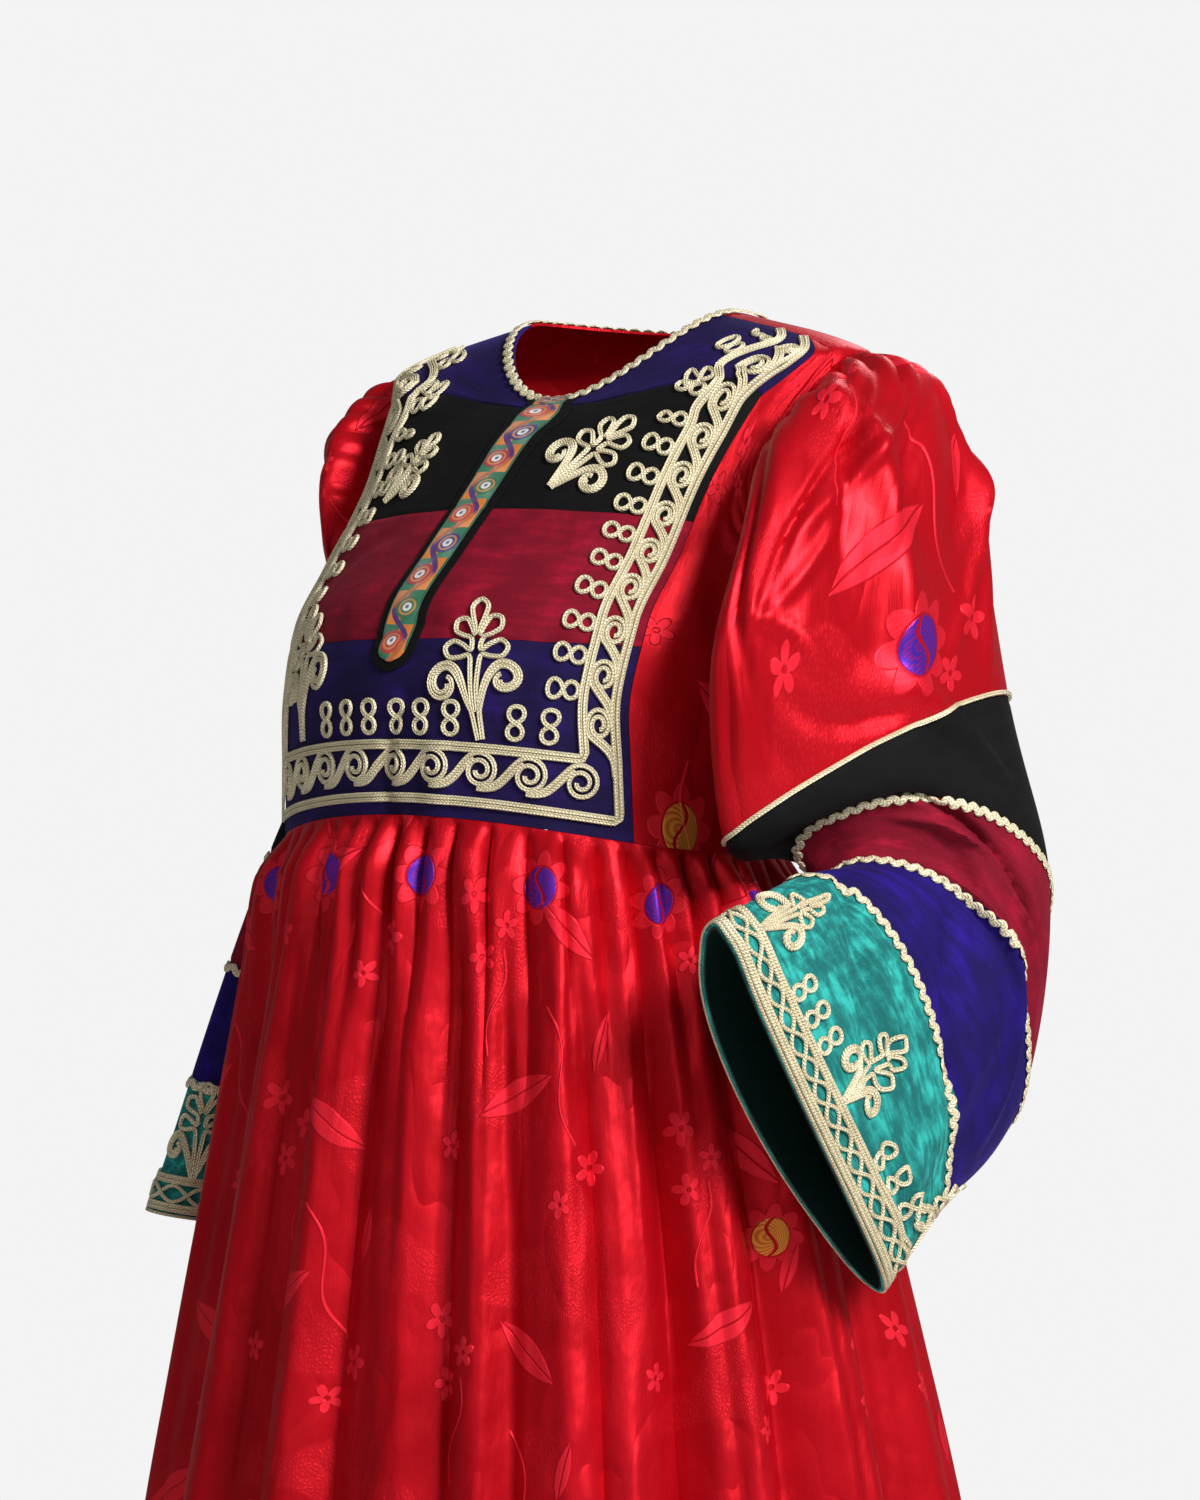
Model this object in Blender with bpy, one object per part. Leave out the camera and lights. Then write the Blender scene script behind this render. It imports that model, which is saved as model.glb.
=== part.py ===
"""Afghan dress: red satin brocade with a patchwork velvet bib and banded wide sleeves.

The dress keeps its filled-out form: a bodice to a high waist seam, a gathered
skirt, a hanging right sleeve and a left sleeve that is bent forward over the
waist. Metres, Z up, front at -Y, the dress's own left at +X. The origin lies
between the two neck-side points of the shoulder seams, where it is carried.
"""
import math

import bmesh
import bpy
import numpy as np
from mathutils import Vector, geometry

# Cloth
WALL = 0.0018
SEAM_GAP = 0.0003
LIFT = 0.0006
SLEEVE_LIFT = 0.0009
RAIL_LIFT = 0.0009
YOKE_RAIL_LIFT = 0.0016
NECK_LIFT = 0.0014
LINING_GAP = 0.0004
LINING = 0.0012

# Bodice
FRONT_SEAM_ANGLE = 80.0
ARMHOLE_MID_ANGLE = 92.0
ARMHOLE_HALF_ANGLE = 26.0
ARMHOLE_LOW = 0.58
ARMHOLE_TOP = 0.90
NECK_LEVEL = 1.0
BIB_TOP_LEVEL = 0.93
SEAM_BOW = 1.5
ANGLE_STEP = 1.0
LEVEL_STEP = 0.012

# Skirt
HEM_Z = -1.27
GATHERS = 48
GATHER_HEIGHT = 0.0042
STEPS_PER_GATHER = 3
SKIRT_PANELS = ("skirt_front_right", "skirt_front_left", "skirt_back_left", "skirt_back_right")
WAIST_BLEND = 0.03
FOLD_START = 0.02
FOLD_POWER = 0.75
LEAST_SLANT = 0.45

# Sleeves
SLEEVE_COLUMNS = 28
HEAD_GATHERS = 12
HEAD_GATHER_HEIGHT = 0.0022
HEAD_TURN = 90.0
HEAD_REACH = 95.0
HEAD_START = 0.04
HEAD_FADE = 0.16
DRAPE_POWER = 0.7

# Trims
TRIM_INSET = 0.0004
RICKRACK_WIDTH = 0.0075
RICKRACK_HEIGHT = 0.0016
PIPING_WIDTH = 0.0030
PIPING_HEIGHT = 0.0020
RAIL_WIDTH = 0.0062
RAIL_HEIGHT = 0.0022
RAIL_TOP = 0.22
ROW_ROOM = 0.15
COLUMN_ROOM = 0.3
CUFF_RAIL_INSET = 0.0030

# Rails of the bib's border: name, shares of the half width and rows of their two edges
BIB_RAILS = (
    ("rail_outer", (0.964, 0.926), (0.20, 0.375)),
    ("rail_inner", (0.837, 0.797), (1.10, 1.28)),
)

# Placket: name, half width as a share of the bib's, row of its end, height, cloth, height below
PLACKET = (
    ("placket_border", 0.094, 2.45, 0.0012, "velvet_black", 0.0),
    ("placket_ribbon", 0.058, 2.58, 0.0010, "ribbon", 0.0018),
)
PLACKET_START = 0.03
PLACKET_END = 0.12
PLACKET_END_SHARES = (0.85, 0.35)

# Cloth colours
COLOURS = {
    "satin_red": (0.62, 0.012, 0.022),
    "velvet_navy": (0.03, 0.012, 0.12),
    "velvet_black": (0.006, 0.006, 0.007),
    "velvet_crimson": (0.28, 0.004, 0.025),
    "velvet_blue": (0.03, 0.008, 0.30),
    "velvet_teal": (0.015, 0.22, 0.20),
    "lining_dark": (0.004, 0.014, 0.012),
    "cord_gold": (0.62, 0.53, 0.32),
    "ribbon": (0.45, 0.12, 0.05),
}

# Bodice sections from the waist seam to the neckline, metres.
# level, centre x, centre y, half width, depth in front, depth behind,
# height in front, at the side, behind
BODICE_SECTIONS = (
    (0.00, -0.019, -0.085, 0.172, 0.135, 0.140, -0.321, -0.345, -0.330),
    (0.15, -0.018, -0.080, 0.176, 0.140, 0.142, -0.278, -0.300, -0.285),
    (0.30, -0.017, -0.071, 0.182, 0.147, 0.145, -0.235, -0.255, -0.238),
    (0.45, -0.016, -0.057, 0.188, 0.146, 0.143, -0.193, -0.208, -0.185),
    (0.58, -0.012, -0.042, 0.187, 0.134, 0.138, -0.157, -0.168, -0.140),
    (0.74, -0.007, -0.023, 0.181, 0.119, 0.128, -0.115, -0.110, -0.088),
    (0.86, -0.003, -0.010, 0.183, 0.105, 0.110, -0.083, -0.053, -0.046),
    (0.90, 0.000, -0.006, 0.183, 0.099, 0.102, -0.074, -0.031, -0.034),
    (0.93, 0.000, -0.004, 0.161, 0.093, 0.096, -0.068, -0.020, -0.025),
    (1.00, 0.000, 0.000, 0.080, 0.080, 0.078, -0.056, 0.000, -0.006),
)

# Edge of the bib, one row per level: level, angle in degrees from the centre front
BIB_EDGE = (
    (0.00, 58.0),
    (0.15, 55.5),
    (0.30, 52.5),
    (0.45, 51.5),
    (0.58, 52.0),
    (0.74, 53.5),
    (0.86, 58.5),
    (0.90, 67.0),
    (0.93, 80.0),
)

# Rows across the bib: name of the seam, level at the centre, level at the edge, rows below it
BIB_ROWS = (
    ("waist", 0.00, 0.00, 0),
    ("navy_crimson", 0.385, 0.40, 3),
    ("crimson_black", 0.690, 0.66, 3),
    ("black_yoke", 0.965, 0.865, 3),
)
YOKE_ROWS = 3
NECK_SHARE = 0.62
NECK_TRIM_EDGES = (0.0008, 0.0072)
NECK_LINE_STEPS = 30
BIB_COLUMNS = (0.0, 0.105, 0.21, 0.35, 0.50, 0.62, 0.72, 0.84, 0.93, 1.0)

# Rows of the side seam and the front armhole: level on the seam, then turns on the armhole
SIDE_SEAM_LEVELS = (0.00, 0.16, 0.32, 0.46, 0.54)
FRONT_ARMHOLE_TURNS = (-90.0, -50.0, -22.0, 7.0, 30.0, 42.0, 53.0)
BACK_ARMHOLE_TURNS = (-90.0, -125.0, -155.0, -185.0, -215.0, -245.0, -270.0)
SIDE_FRONT_COLUMNS = 3
BACK_NECK_COLUMNS = 10
BACK_WAIST_COLUMNS = 12
BACK_LEVELS = (0.09, 0.18, 0.28, 0.38, 0.48, 0.57, 0.66, 0.74, 0.81, 0.87, 0.91, 0.945, 0.975)
BACK_SPREAD = 84.0
BACK_POINTS = 13
BACK_SPACING = 0.012
BACK_NET = (0.0026, 0.35)
SAME_POINT = 1e-9
NEAR_ZERO = 1e-6

# Skirt rows: drop from waist to hem, centre x, centre y, half width, half depth, gather share
SKIRT_ROWS = (
    (0.000, -0.020, -0.0825, 0.174, 0.1375, 0.00),
    (0.012, -0.020, -0.0825, 0.178, 0.1410, 0.85),
    (0.040, -0.020, -0.0820, 0.184, 0.1470, 1.00),
    (0.085, -0.019, -0.0790, 0.191, 0.1550, 0.80),
    (0.150, -0.018, -0.0760, 0.202, 0.1680, 0.50),
    (0.260, -0.017, -0.0700, 0.222, 0.1890, 0.22),
    (0.400, -0.016, -0.0650, 0.246, 0.2140, 0.05),
    (0.580, -0.015, -0.0600, 0.274, 0.2440, 0.00),
    (0.780, -0.014, -0.0560, 0.305, 0.2740, 0.00),
    (1.000, -0.013, -0.0520, 0.338, 0.3060, 0.00),
)

# Hanging folds of the skirt: angle at the waist, angle at the hem, half width in degrees,
# height at the hem, share of the height at the waist
SKIRT_FOLDS = (
    (-4.0, -2.0, 12.0, 0.034, 0.16),
    (20.0, 24.0, 9.0, 0.030, 0.20),
    (42.0, 45.0, 9.5, 0.036, 0.22),
    (63.0, 68.0, 8.5, 0.027, 0.16),
    (84.0, 92.0, 10.0, 0.034, 0.14),
    (108.0, 114.0, 9.0, 0.030, 0.18),
    (131.0, 136.0, 10.0, 0.033, 0.16),
    (154.0, 158.0, 9.0, 0.028, 0.20),
    (177.0, 181.0, 10.5, 0.034, 0.16),
    (200.0, 204.0, 9.0, 0.029, 0.18),
    (222.0, 227.0, 10.0, 0.033, 0.14),
    (246.0, 250.0, 9.0, 0.028, 0.18),
    (270.0, 273.0, 10.0, 0.034, 0.14),
    (292.0, 294.0, 9.0, 0.030, 0.20),
    (312.0, 314.0, 9.5, 0.036, 0.22),
    (334.0, 335.0, 9.0, 0.031, 0.18),
)

# Sleeve rings: the length along the sleeve, then the points on its front line (later the
# top of the forearm), its outer, back (later the underside) and inner lines, x y z each
LEFT_RINGS = (
    (0.06, 0.185, -0.110, -0.110, 0.218, -0.012, -0.038, 0.186, 0.056, -0.096, 0.188, -0.022, -0.172),
    (0.15, 0.208, -0.150, -0.148, 0.246, -0.038, -0.090, 0.214, 0.062, -0.130, 0.189, -0.045, -0.195),
    (0.25, 0.214, -0.182, -0.225, 0.262, -0.060, -0.175, 0.232, 0.060, -0.185, 0.190, -0.065, -0.255),
    (0.36, 0.210, -0.162, -0.333, 0.272, -0.060, -0.266, 0.250, 0.058, -0.255, 0.196, -0.062, -0.315),
    (0.50, 0.222, -0.095, -0.326, 0.290, -0.012, -0.318, 0.262, 0.076, -0.385, 0.204, -0.038, -0.370),
    (0.65, 0.228, -0.078, -0.352, 0.290, 0.000, -0.395, 0.262, 0.043, -0.515, 0.210, -0.030, -0.432),
    (0.81, 0.236, -0.130, -0.358, 0.284, -0.065, -0.430, 0.264, -0.035, -0.568, 0.214, -0.085, -0.462),
    (1.00, 0.240, -0.220, -0.385, 0.268, -0.180, -0.476, 0.258, -0.077, -0.613, 0.216, -0.165, -0.488),
)
RIGHT_RINGS = (
    (0.06, -0.188, -0.094, -0.106, -0.210, -0.004, -0.038, -0.186, 0.056, -0.094, -0.208, -0.018, -0.172),
    (0.15, -0.205, -0.076, -0.150, -0.231, 0.018, -0.102, -0.206, 0.100, -0.140, -0.209, 0.014, -0.198),
    (0.25, -0.220, -0.034, -0.215, -0.254, 0.060, -0.190, -0.226, 0.152, -0.210, -0.212, 0.060, -0.242),
    (0.36, -0.237, -0.042, -0.280, -0.280, 0.062, -0.268, -0.246, 0.168, -0.280, -0.222, 0.062, -0.298),
    (0.50, -0.256, -0.062, -0.354, -0.305, 0.052, -0.345, -0.268, 0.170, -0.355, -0.236, 0.052, -0.368),
    (0.65, -0.272, -0.084, -0.427, -0.328, 0.040, -0.420, -0.284, 0.165, -0.436, -0.252, 0.040, -0.442),
    (0.81, -0.289, -0.106, -0.503, -0.350, 0.028, -0.502, -0.302, 0.158, -0.520, -0.268, 0.028, -0.520),
    (1.00, -0.308, -0.130, -0.590, -0.372, 0.012, -0.598, -0.324, 0.148, -0.620, -0.284, 0.012, -0.610),
)

# Pieces of a sleeve from the armhole down: name, length at its lower seam, rows in it
SLEEVE_PIECES = (
    ("sleeve", 0.36, 6),
    ("band_black", 0.50, 3),
    ("band_crimson", 0.65, 2),
    ("band_blue", 0.81, 2),
    ("cuff", 1.00, 3),
)

# Drape ridges of the sleeves: turn at the start, turn at the end, start, end, half width
# in degrees, height
LEFT_DRAPES = (
    (60.0, 100.0, 0.02, 0.36, 16.0, 0.006),
    (120.0, 70.0, 0.05, 0.50, 18.0, 0.005),
    (30.0, 20.0, 0.05, 0.34, 14.0, 0.005),
    (60.0, 120.0, 0.50, 0.82, 16.0, 0.006),
    (95.0, 150.0, 0.60, 1.00, 16.0, 0.005),
    (200.0, 215.0, 0.06, 0.90, 20.0, 0.004),
    (290.0, 275.0, 0.10, 0.95, 24.0, 0.002),
)
RIGHT_DRAPES = (
    (70.0, 40.0, 0.02, 0.60, 15.0, 0.006),
    (100.0, 95.0, 0.04, 1.00, 14.0, 0.006),
    (135.0, 150.0, 0.05, 0.90, 16.0, 0.005),
    (15.0, 10.0, 0.10, 1.00, 14.0, 0.005),
    (200.0, 215.0, 0.06, 0.95, 18.0, 0.005),
    (300.0, 285.0, 0.12, 0.95, 18.0, 0.004),
)


def clear_file() -> None:
    """Remove every object of the start file."""
    for item in list(bpy.data.objects):
        bpy.data.objects.remove(item, do_unlink=True)


def make_materials() -> dict:
    """One cloth material per colour."""
    made = {}
    for name, colour in COLOURS.items():
        material = bpy.data.materials.new(name)
        material.use_nodes = True
        shader = material.node_tree.nodes["Principled BSDF"]
        shader.inputs["Base Color"].default_value = (*colour, 1.0)
        shader.inputs["Roughness"].default_value = 0.6
        made[name] = material
    return made


def smooth_table(rows, key, column):
    """Value of a table's column at each key: cubic pieces whose slopes never overshoot."""
    table = np.array(rows, dtype=float)
    x = table[:, 0]
    y = table[:, column]
    step = np.diff(x)
    slope = np.diff(y) / step
    tangent = np.zeros_like(y)
    same = slope[:-1] * slope[1:] > 0
    mean = 2.0 * slope[:-1] * slope[1:] / np.where(same, slope[:-1] + slope[1:], 1.0)
    tangent[1:-1] = np.where(same, mean, 0.0)
    tangent[0] = slope[0]
    tangent[-1] = slope[-1]
    key = np.clip(np.asarray(key, dtype=float), x[0], x[-1])
    index = np.clip(np.searchsorted(x, key, side="right") - 1, 0, len(x) - 2)
    h = step[index]
    t = (key - x[index]) / h
    rise = (2 * t**3 - 3 * t**2 + 1) * y[index] + (3 * t**2 - 2 * t**3) * y[index + 1]
    turn = (t**3 - 2 * t**2 + t) * tangent[index] + (t**3 - t**2) * tangent[index + 1]
    return rise + turn * h


def flowing_table(rows, key, column):
    """Value of a table's column at each key: cubic pieces through the rows, rounded turns."""
    table = np.array(rows, dtype=float)
    x = table[:, 0]
    y = table[:, column]
    tangent = np.gradient(y, x)
    key = np.asarray(key, dtype=float)
    index = np.clip(np.searchsorted(x, key, side="right") - 1, 0, len(x) - 2)
    h = x[index + 1] - x[index]
    t = (key - x[index]) / h
    rise = (2 * t**3 - 3 * t**2 + 1) * y[index] + (3 * t**2 - 2 * t**3) * y[index + 1]
    turn = (t**3 - 2 * t**2 + t) * tangent[index] + (t**3 - t**2) * tangent[index + 1]
    return rise + turn * h


def bodice_point(angle, level):
    """Points of the bodice at angles in degrees from the centre front and levels 0 to 1."""
    values = [smooth_table(BODICE_SECTIONS, level, column) for column in range(1, 9)]
    centre_x, centre_y, half_width, in_front, behind, z_front, z_side, z_back = values
    turn = np.radians(angle)
    forward = np.cos(turn)
    depth = np.where(forward > 0, in_front, behind)
    z_end = np.where(forward > 0, z_front, z_back)
    x = centre_x + half_width * np.sin(turn)
    y = centre_y - depth * forward
    z = z_side + (z_end - z_side) * forward**2
    return np.stack([x, y, z], axis=-1)


def bodice_normal(angle, level):
    """Outward unit normals of the bodice's surface."""
    inside = np.clip(level, LEVEL_STEP, NECK_LEVEL - LEVEL_STEP)
    across = bodice_point(angle + ANGLE_STEP, inside) - bodice_point(angle - ANGLE_STEP, inside)
    along = bodice_point(angle, inside + LEVEL_STEP) - bodice_point(angle, inside - LEVEL_STEP)
    normal = np.cross(across, along)
    return normal / np.linalg.norm(normal, axis=-1, keepdims=True)


def bodice_inside(outer, angle, level):
    """Inner points of a bodice piece, level with the outer ones along the waist seam."""
    inner = outer - WALL * bodice_normal(angle, level)
    inner[0, :, 2] = outer[0, :, 2]
    return inner


def armhole(turn):
    """Angle and level of the armhole line at turns in degrees, 0 at its front, 90 on top."""
    side = np.cos(np.radians(turn))
    rise = np.sin(np.radians(turn))
    angle = ARMHOLE_MID_ANGLE - ARMHOLE_HALF_ANGLE * side
    level = (ARMHOLE_LOW + ARMHOLE_TOP) / 2 + (ARMHOLE_TOP - ARMHOLE_LOW) / 2 * rise
    return angle, level


def normals_of(grid, around=False):
    """Unit normals of a grid of points, rows by columns."""
    if around:
        wide = np.concatenate([grid[:, -1:], grid, grid[:, :1]], axis=1)
        across = wide[:, 2:] - wide[:, :-2]
    else:
        across = np.gradient(grid, axis=1)
    along = np.gradient(grid, axis=0)
    normal = np.cross(across, along)
    return normal / np.linalg.norm(normal, axis=-1, keepdims=True)


def trim_edges(grid, low, high, left, right):
    """Draw the named edges of a grid back by half a seam gap."""
    grid = grid.copy()
    half = SEAM_GAP / 2

    def drawn(edge, inside):
        step = inside - edge
        return edge + step / np.linalg.norm(step, axis=-1, keepdims=True) * half

    if low:
        grid[0] = drawn(grid[0], grid[1])
    if high:
        grid[-1] = drawn(grid[-1], grid[-2])
    if left:
        grid[:, 0] = drawn(grid[:, 0], grid[:, 1])
    if right:
        grid[:, -1] = drawn(grid[:, -1], grid[:, -2])
    return grid


def solid_from_grids(name, outer, inner, around, material):
    """A closed wall between an outer and an inner grid of the same size."""
    rows, columns = outer.shape[:2]
    count = rows * columns
    points = np.concatenate([outer.reshape(-1, 3), inner.reshape(-1, 3)])
    spans = columns if around else columns - 1
    faces = []

    def quad(a, b, c, d):
        faces.append((a, b, c))
        faces.append((a, c, d))

    for i in range(rows - 1):
        for j in range(spans):
            a = i * columns + j
            b = i * columns + (j + 1) % columns
            c = b + columns
            d = a + columns
            quad(a, b, c, d)
            faces.append((c + count, b + count, a + count))
            faces.append((d + count, c + count, a + count))
    top = (rows - 1) * columns
    for j in range(spans):
        k = (j + 1) % columns
        quad(j, j + count, k + count, k)
        quad(top + j, top + k, top + k + count, top + j + count)
    if not around:
        for i in range(rows - 1):
            a = i * columns
            b = a + columns
            quad(a, b, b + count, a + count)
            a += columns - 1
            b += columns - 1
            quad(a, a + count, b + count, b)
    return closed_solid(name, points, faces, material)


def closed_solid(name, points, faces, material):
    """An object from points and faces, its faces turned outwards."""
    mesh = bpy.data.meshes.new(name)
    mesh.from_pydata([tuple(p) for p in points.tolist()], [], faces)
    work = bmesh.new()
    work.from_mesh(mesh)
    bmesh.ops.recalc_face_normals(work, faces=work.faces)
    if work.calc_volume(signed=True) < 0:
        bmesh.ops.reverse_faces(work, faces=work.faces)
    work.to_mesh(mesh)
    work.free()
    mesh.materials.append(material)
    item = bpy.data.objects.new(name, mesh)
    bpy.context.scene.collection.objects.link(item)
    return item


def edge_angle(level):
    """Angle of the bib's edge at a level."""
    return smooth_table(BIB_EDGE, level, 1)


def bib_shares():
    """Shares of the bib's half width at its columns, from its right edge to its left."""
    return np.array(sorted({-c for c in BIB_COLUMNS} | set(BIB_COLUMNS)))


def bib_levels():
    """Levels of the bib's rows at the centre and at the edge, and the row where each band ends."""
    centre = [BIB_ROWS[0][1]]
    edge = [BIB_ROWS[0][2]]
    ends = [0]
    for (_, c0, e0, _), (_, c1, e1, rows) in zip(BIB_ROWS[:-1], BIB_ROWS[1:]):
        for i in range(1, rows + 1):
            centre.append(c0 + (c1 - c0) * i / rows)
            edge.append(e0 + (e1 - e0) * i / rows)
        ends.append(len(centre) - 1)
    return np.array(centre), np.array(edge), ends


def bib_grid():
    """Outer points of the whole bib, and the rows at which its bands end."""
    centre, edge, ends = bib_levels()
    share = bib_shares()
    level = centre[:, None] + (edge - centre)[:, None] * np.abs(share)[None, :] ** SEAM_BOW
    angle = edge_angle(level) * share[None, :]
    low_angle = angle[-1]
    low_level = level[-1]
    on_neck = np.minimum(np.abs(share) / NECK_SHARE, 1.0)
    past_neck = np.clip((np.abs(share) - NECK_SHARE) / (1 - NECK_SHARE), 0.0, 1.0)
    top_angle = np.sign(share) * FRONT_SEAM_ANGLE * on_neck
    top_level = NECK_LEVEL + (BIB_TOP_LEVEL - NECK_LEVEL) * past_neck
    for i in range(1, YOKE_ROWS + 1):
        t = i / YOKE_ROWS
        angle = np.vstack([angle, low_angle + (top_angle - low_angle) * t])
        level = np.vstack([level, low_level + (top_level - low_level) * t])
    ends.append(len(level) - 1)
    return bodice_point(angle, level), ends, angle, level


def shoulder_turn():
    """Turn on the armhole where the shoulder seam ends."""
    return math.degrees(math.acos((ARMHOLE_MID_ANGLE - FRONT_SEAM_ANGLE) / ARMHOLE_HALF_ANGLE))


def side_boundary(turns, last):
    """Angles and levels up the side seam and on round the armhole to the shoulder seam."""
    angle = [ARMHOLE_MID_ANGLE] * len(SIDE_SEAM_LEVELS)
    level = list(SIDE_SEAM_LEVELS)
    for turn in (*turns, last):
        a, k = armhole(turn)
        angle.append(float(a))
        level.append(float(k))
    return np.array(angle), np.array(level)


def side_front_grid(bib_angle, bib_level, side):
    """Outer points of a side front, from the bib's edge to the side seam and armhole."""
    near_angle = bib_angle[:, -1]
    near_level = bib_level[:, -1]
    far_angle, far_level = side_boundary(FRONT_ARMHOLE_TURNS, shoulder_turn())
    share = np.linspace(0.0, 1.0, SIDE_FRONT_COLUMNS + 1)
    angle = near_angle[:, None] + (far_angle - near_angle)[:, None] * share
    level = near_level[:, None] + (far_level - near_level)[:, None] * share
    angle = side * angle
    return bodice_point(angle, level), angle, level


def back_outline(bib_level):
    """Angles and levels round the back: waist, left side and armhole, neck, right side."""
    side_angle, side_level = side_boundary(BACK_ARMHOLE_TURNS, -360.0 + shoulder_turn())
    seam_end = side_level[-1]
    share = np.linspace(1.0, 0.0, SIDE_FRONT_COLUMNS + 1)[1:]
    seam = list(BIB_TOP_LEVEL + (seam_end - BIB_TOP_LEVEL) * share)
    top_row = bib_level[-1]
    seam += [k for k in top_row[len(top_row) // 2:][::-1] if BIB_TOP_LEVEL < k < NECK_LEVEL]
    seam.append(NECK_LEVEL)
    neck = np.linspace(FRONT_SEAM_ANGLE, 360.0 - FRONT_SEAM_ANGLE, BACK_NECK_COLUMNS + 1)[1:-1]
    low = np.linspace(360.0 - side_angle[0], side_angle[0], BACK_WAIST_COLUMNS + 1)[1:-1]
    left_angle = list(side_angle) + [FRONT_SEAM_ANGLE] * len(seam)
    left_level = list(side_level) + seam
    angle = left_angle + list(neck) + [360.0 - a for a in left_angle[::-1]] + list(low)
    level = left_level + [NECK_LEVEL] * len(neck) + left_level[::-1] + [0.0] * len(low)
    return np.array(angle), np.array(level)


def build_back(bib_level, material):
    """The back, its outline filled with even points and closed as a wall."""
    angle, level = back_outline(bib_level)
    count = len(angle)
    scale = np.array(BACK_NET)
    ring = np.stack([angle, level], axis=-1) * scale
    inside = []
    for k in BACK_LEVELS:
        for a in np.linspace(180.0 - BACK_SPREAD, 180.0 + BACK_SPREAD, BACK_POINTS):
            point = np.array([a, k]) * scale
            room = np.linalg.norm(ring - point, axis=1).min()
            if abs(a - 180.0) < back_limit(k) and room > BACK_SPACING:
                inside.append(point)
    flat = [Vector(p) for p in ring] + [Vector(p) for p in inside]
    edges = [(i, (i + 1) % count) for i in range(count)]
    cut = geometry.delaunay_2d_cdt(flat, edges, [tuple(range(count))], 1, SAME_POINT)
    spots = np.array([tuple(v) for v in cut[0]]) / scale
    around = [cut[3].index(next(o for o in cut[3] if i in o)) for i in range(count)]
    angle, level = spots[:, 0], spots[:, 1]
    outer = bodice_point(angle, level)
    normal = bodice_normal(angle, level)
    loop = np.array(around)
    tangent = outer[np.roll(loop, -1)] - outer[np.roll(loop, 1)]
    inward = np.cross(normal[loop], tangent)
    inward /= np.linalg.norm(inward, axis=-1, keepdims=True)
    middle = outer[loop].mean(axis=0)
    if float(((middle - outer[loop]) * inward).sum()) < 0:
        inward = -inward
    waist = level[loop] < NEAR_ZERO
    inward[waist, 2] = 0.0
    from_side = 180.0 - ARMHOLE_MID_ANGLE - np.abs(angle[loop] - 180.0)
    inward[waist & (from_side > ANGLE_STEP)] = 0.0
    outer[loop] += inward * SEAM_GAP / 2
    inner = outer - WALL * normal
    inner[loop[waist], 2] = outer[loop[waist], 2]
    total = len(outer)
    faces = []
    for a, b, c in cut[2]:
        faces.append((a, b, c))
        faces.append((c + total, b + total, a + total))
    for i in range(count):
        a = int(loop[i])
        b = int(loop[(i + 1) % count])
        low, high = (a, b) if angle[a] + level[a] < angle[b] + level[b] else (b, a)
        faces.append((low, high, high + total))
        faces.append((low, high + total, low + total))
    return closed_solid("bodice_back", np.concatenate([outer, inner]), faces, material)


def back_limit(level):
    """Reach of the back on each side of its middle, in degrees, at a level."""
    if level < ARMHOLE_LOW or level > ARMHOLE_TOP:
        return 180.0 - ARMHOLE_MID_ANGLE
    rise = (level - (ARMHOLE_LOW + ARMHOLE_TOP) / 2) / ((ARMHOLE_TOP - ARMHOLE_LOW) / 2)
    return 180.0 - ARMHOLE_MID_ANGLE - ARMHOLE_HALF_ANGLE * math.sqrt(max(0.0, 1 - rise**2))


def panel(name, outer, inner, rows, edges, material) -> None:
    """One open piece cut from a larger pair of grids between two rows."""
    low, high = rows
    part_out = trim_edges(outer[low:high + 1], *edges)
    part_in = trim_edges(inner[low:high + 1], *edges)
    solid_from_grids(name, part_out, part_in, False, material)


def armhole_ring(side):
    """Corners of the bodice's edge round an armhole with their turns, from under the arm."""
    turns = [*FRONT_ARMHOLE_TURNS, shoulder_turn()]
    turns += [t + 360.0 for t in BACK_ARMHOLE_TURNS[::-1]]
    angle, level = armhole(np.array(turns))
    return np.array(turns), bodice_point(side * angle, level)


def ring_columns():
    """Turns of the sleeve's columns, from its front line outwards and round."""
    return np.arange(SLEEVE_COLUMNS) * 360.0 / SLEEVE_COLUMNS


def sleeve_rings(side):
    """Ring table of a sleeve with the armhole's four points as its first row."""
    first = [0.0]
    for turn in (0.0, 90.0, 180.0, 270.0):
        angle, level = armhole(turn)
        first += list(bodice_point(np.array([side * angle]), np.array([level]))[0])
    return (tuple(first),) + (LEFT_RINGS if side > 0 else RIGHT_RINGS)


def bump(distance):
    """A rounded ridge that is 1 on its line and 0 at a distance of 1 or more."""
    near = np.clip(1.0 - np.asarray(distance) ** 2, 0.0, 1.0)
    return near**2


def angle_gap(a, b):
    """Least angle between two directions in degrees."""
    return np.abs((np.asarray(a) - b + 180.0) % 360.0 - 180.0)


def sleeve_surface(side, turn, along):
    """Smooth outer points of a sleeve at turns in degrees and lengths 0 to 1."""
    rings = sleeve_rings(side)
    lines = [[flowing_table(rings, along, 1 + 3 * p + c) for c in range(3)] for p in range(4)]
    front, outward, back, inward = [np.stack(line, axis=-1) for line in lines]
    c = np.cos(np.radians(turn))[..., None]
    s = np.sin(np.radians(turn))[..., None]
    middle = (front + outward + back + inward) / 4
    square = ((front + back) - (outward + inward)) / 4
    return middle + (front - back) / 2 * c + (outward - inward) / 2 * s + square * (c**2 - s**2)


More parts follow.
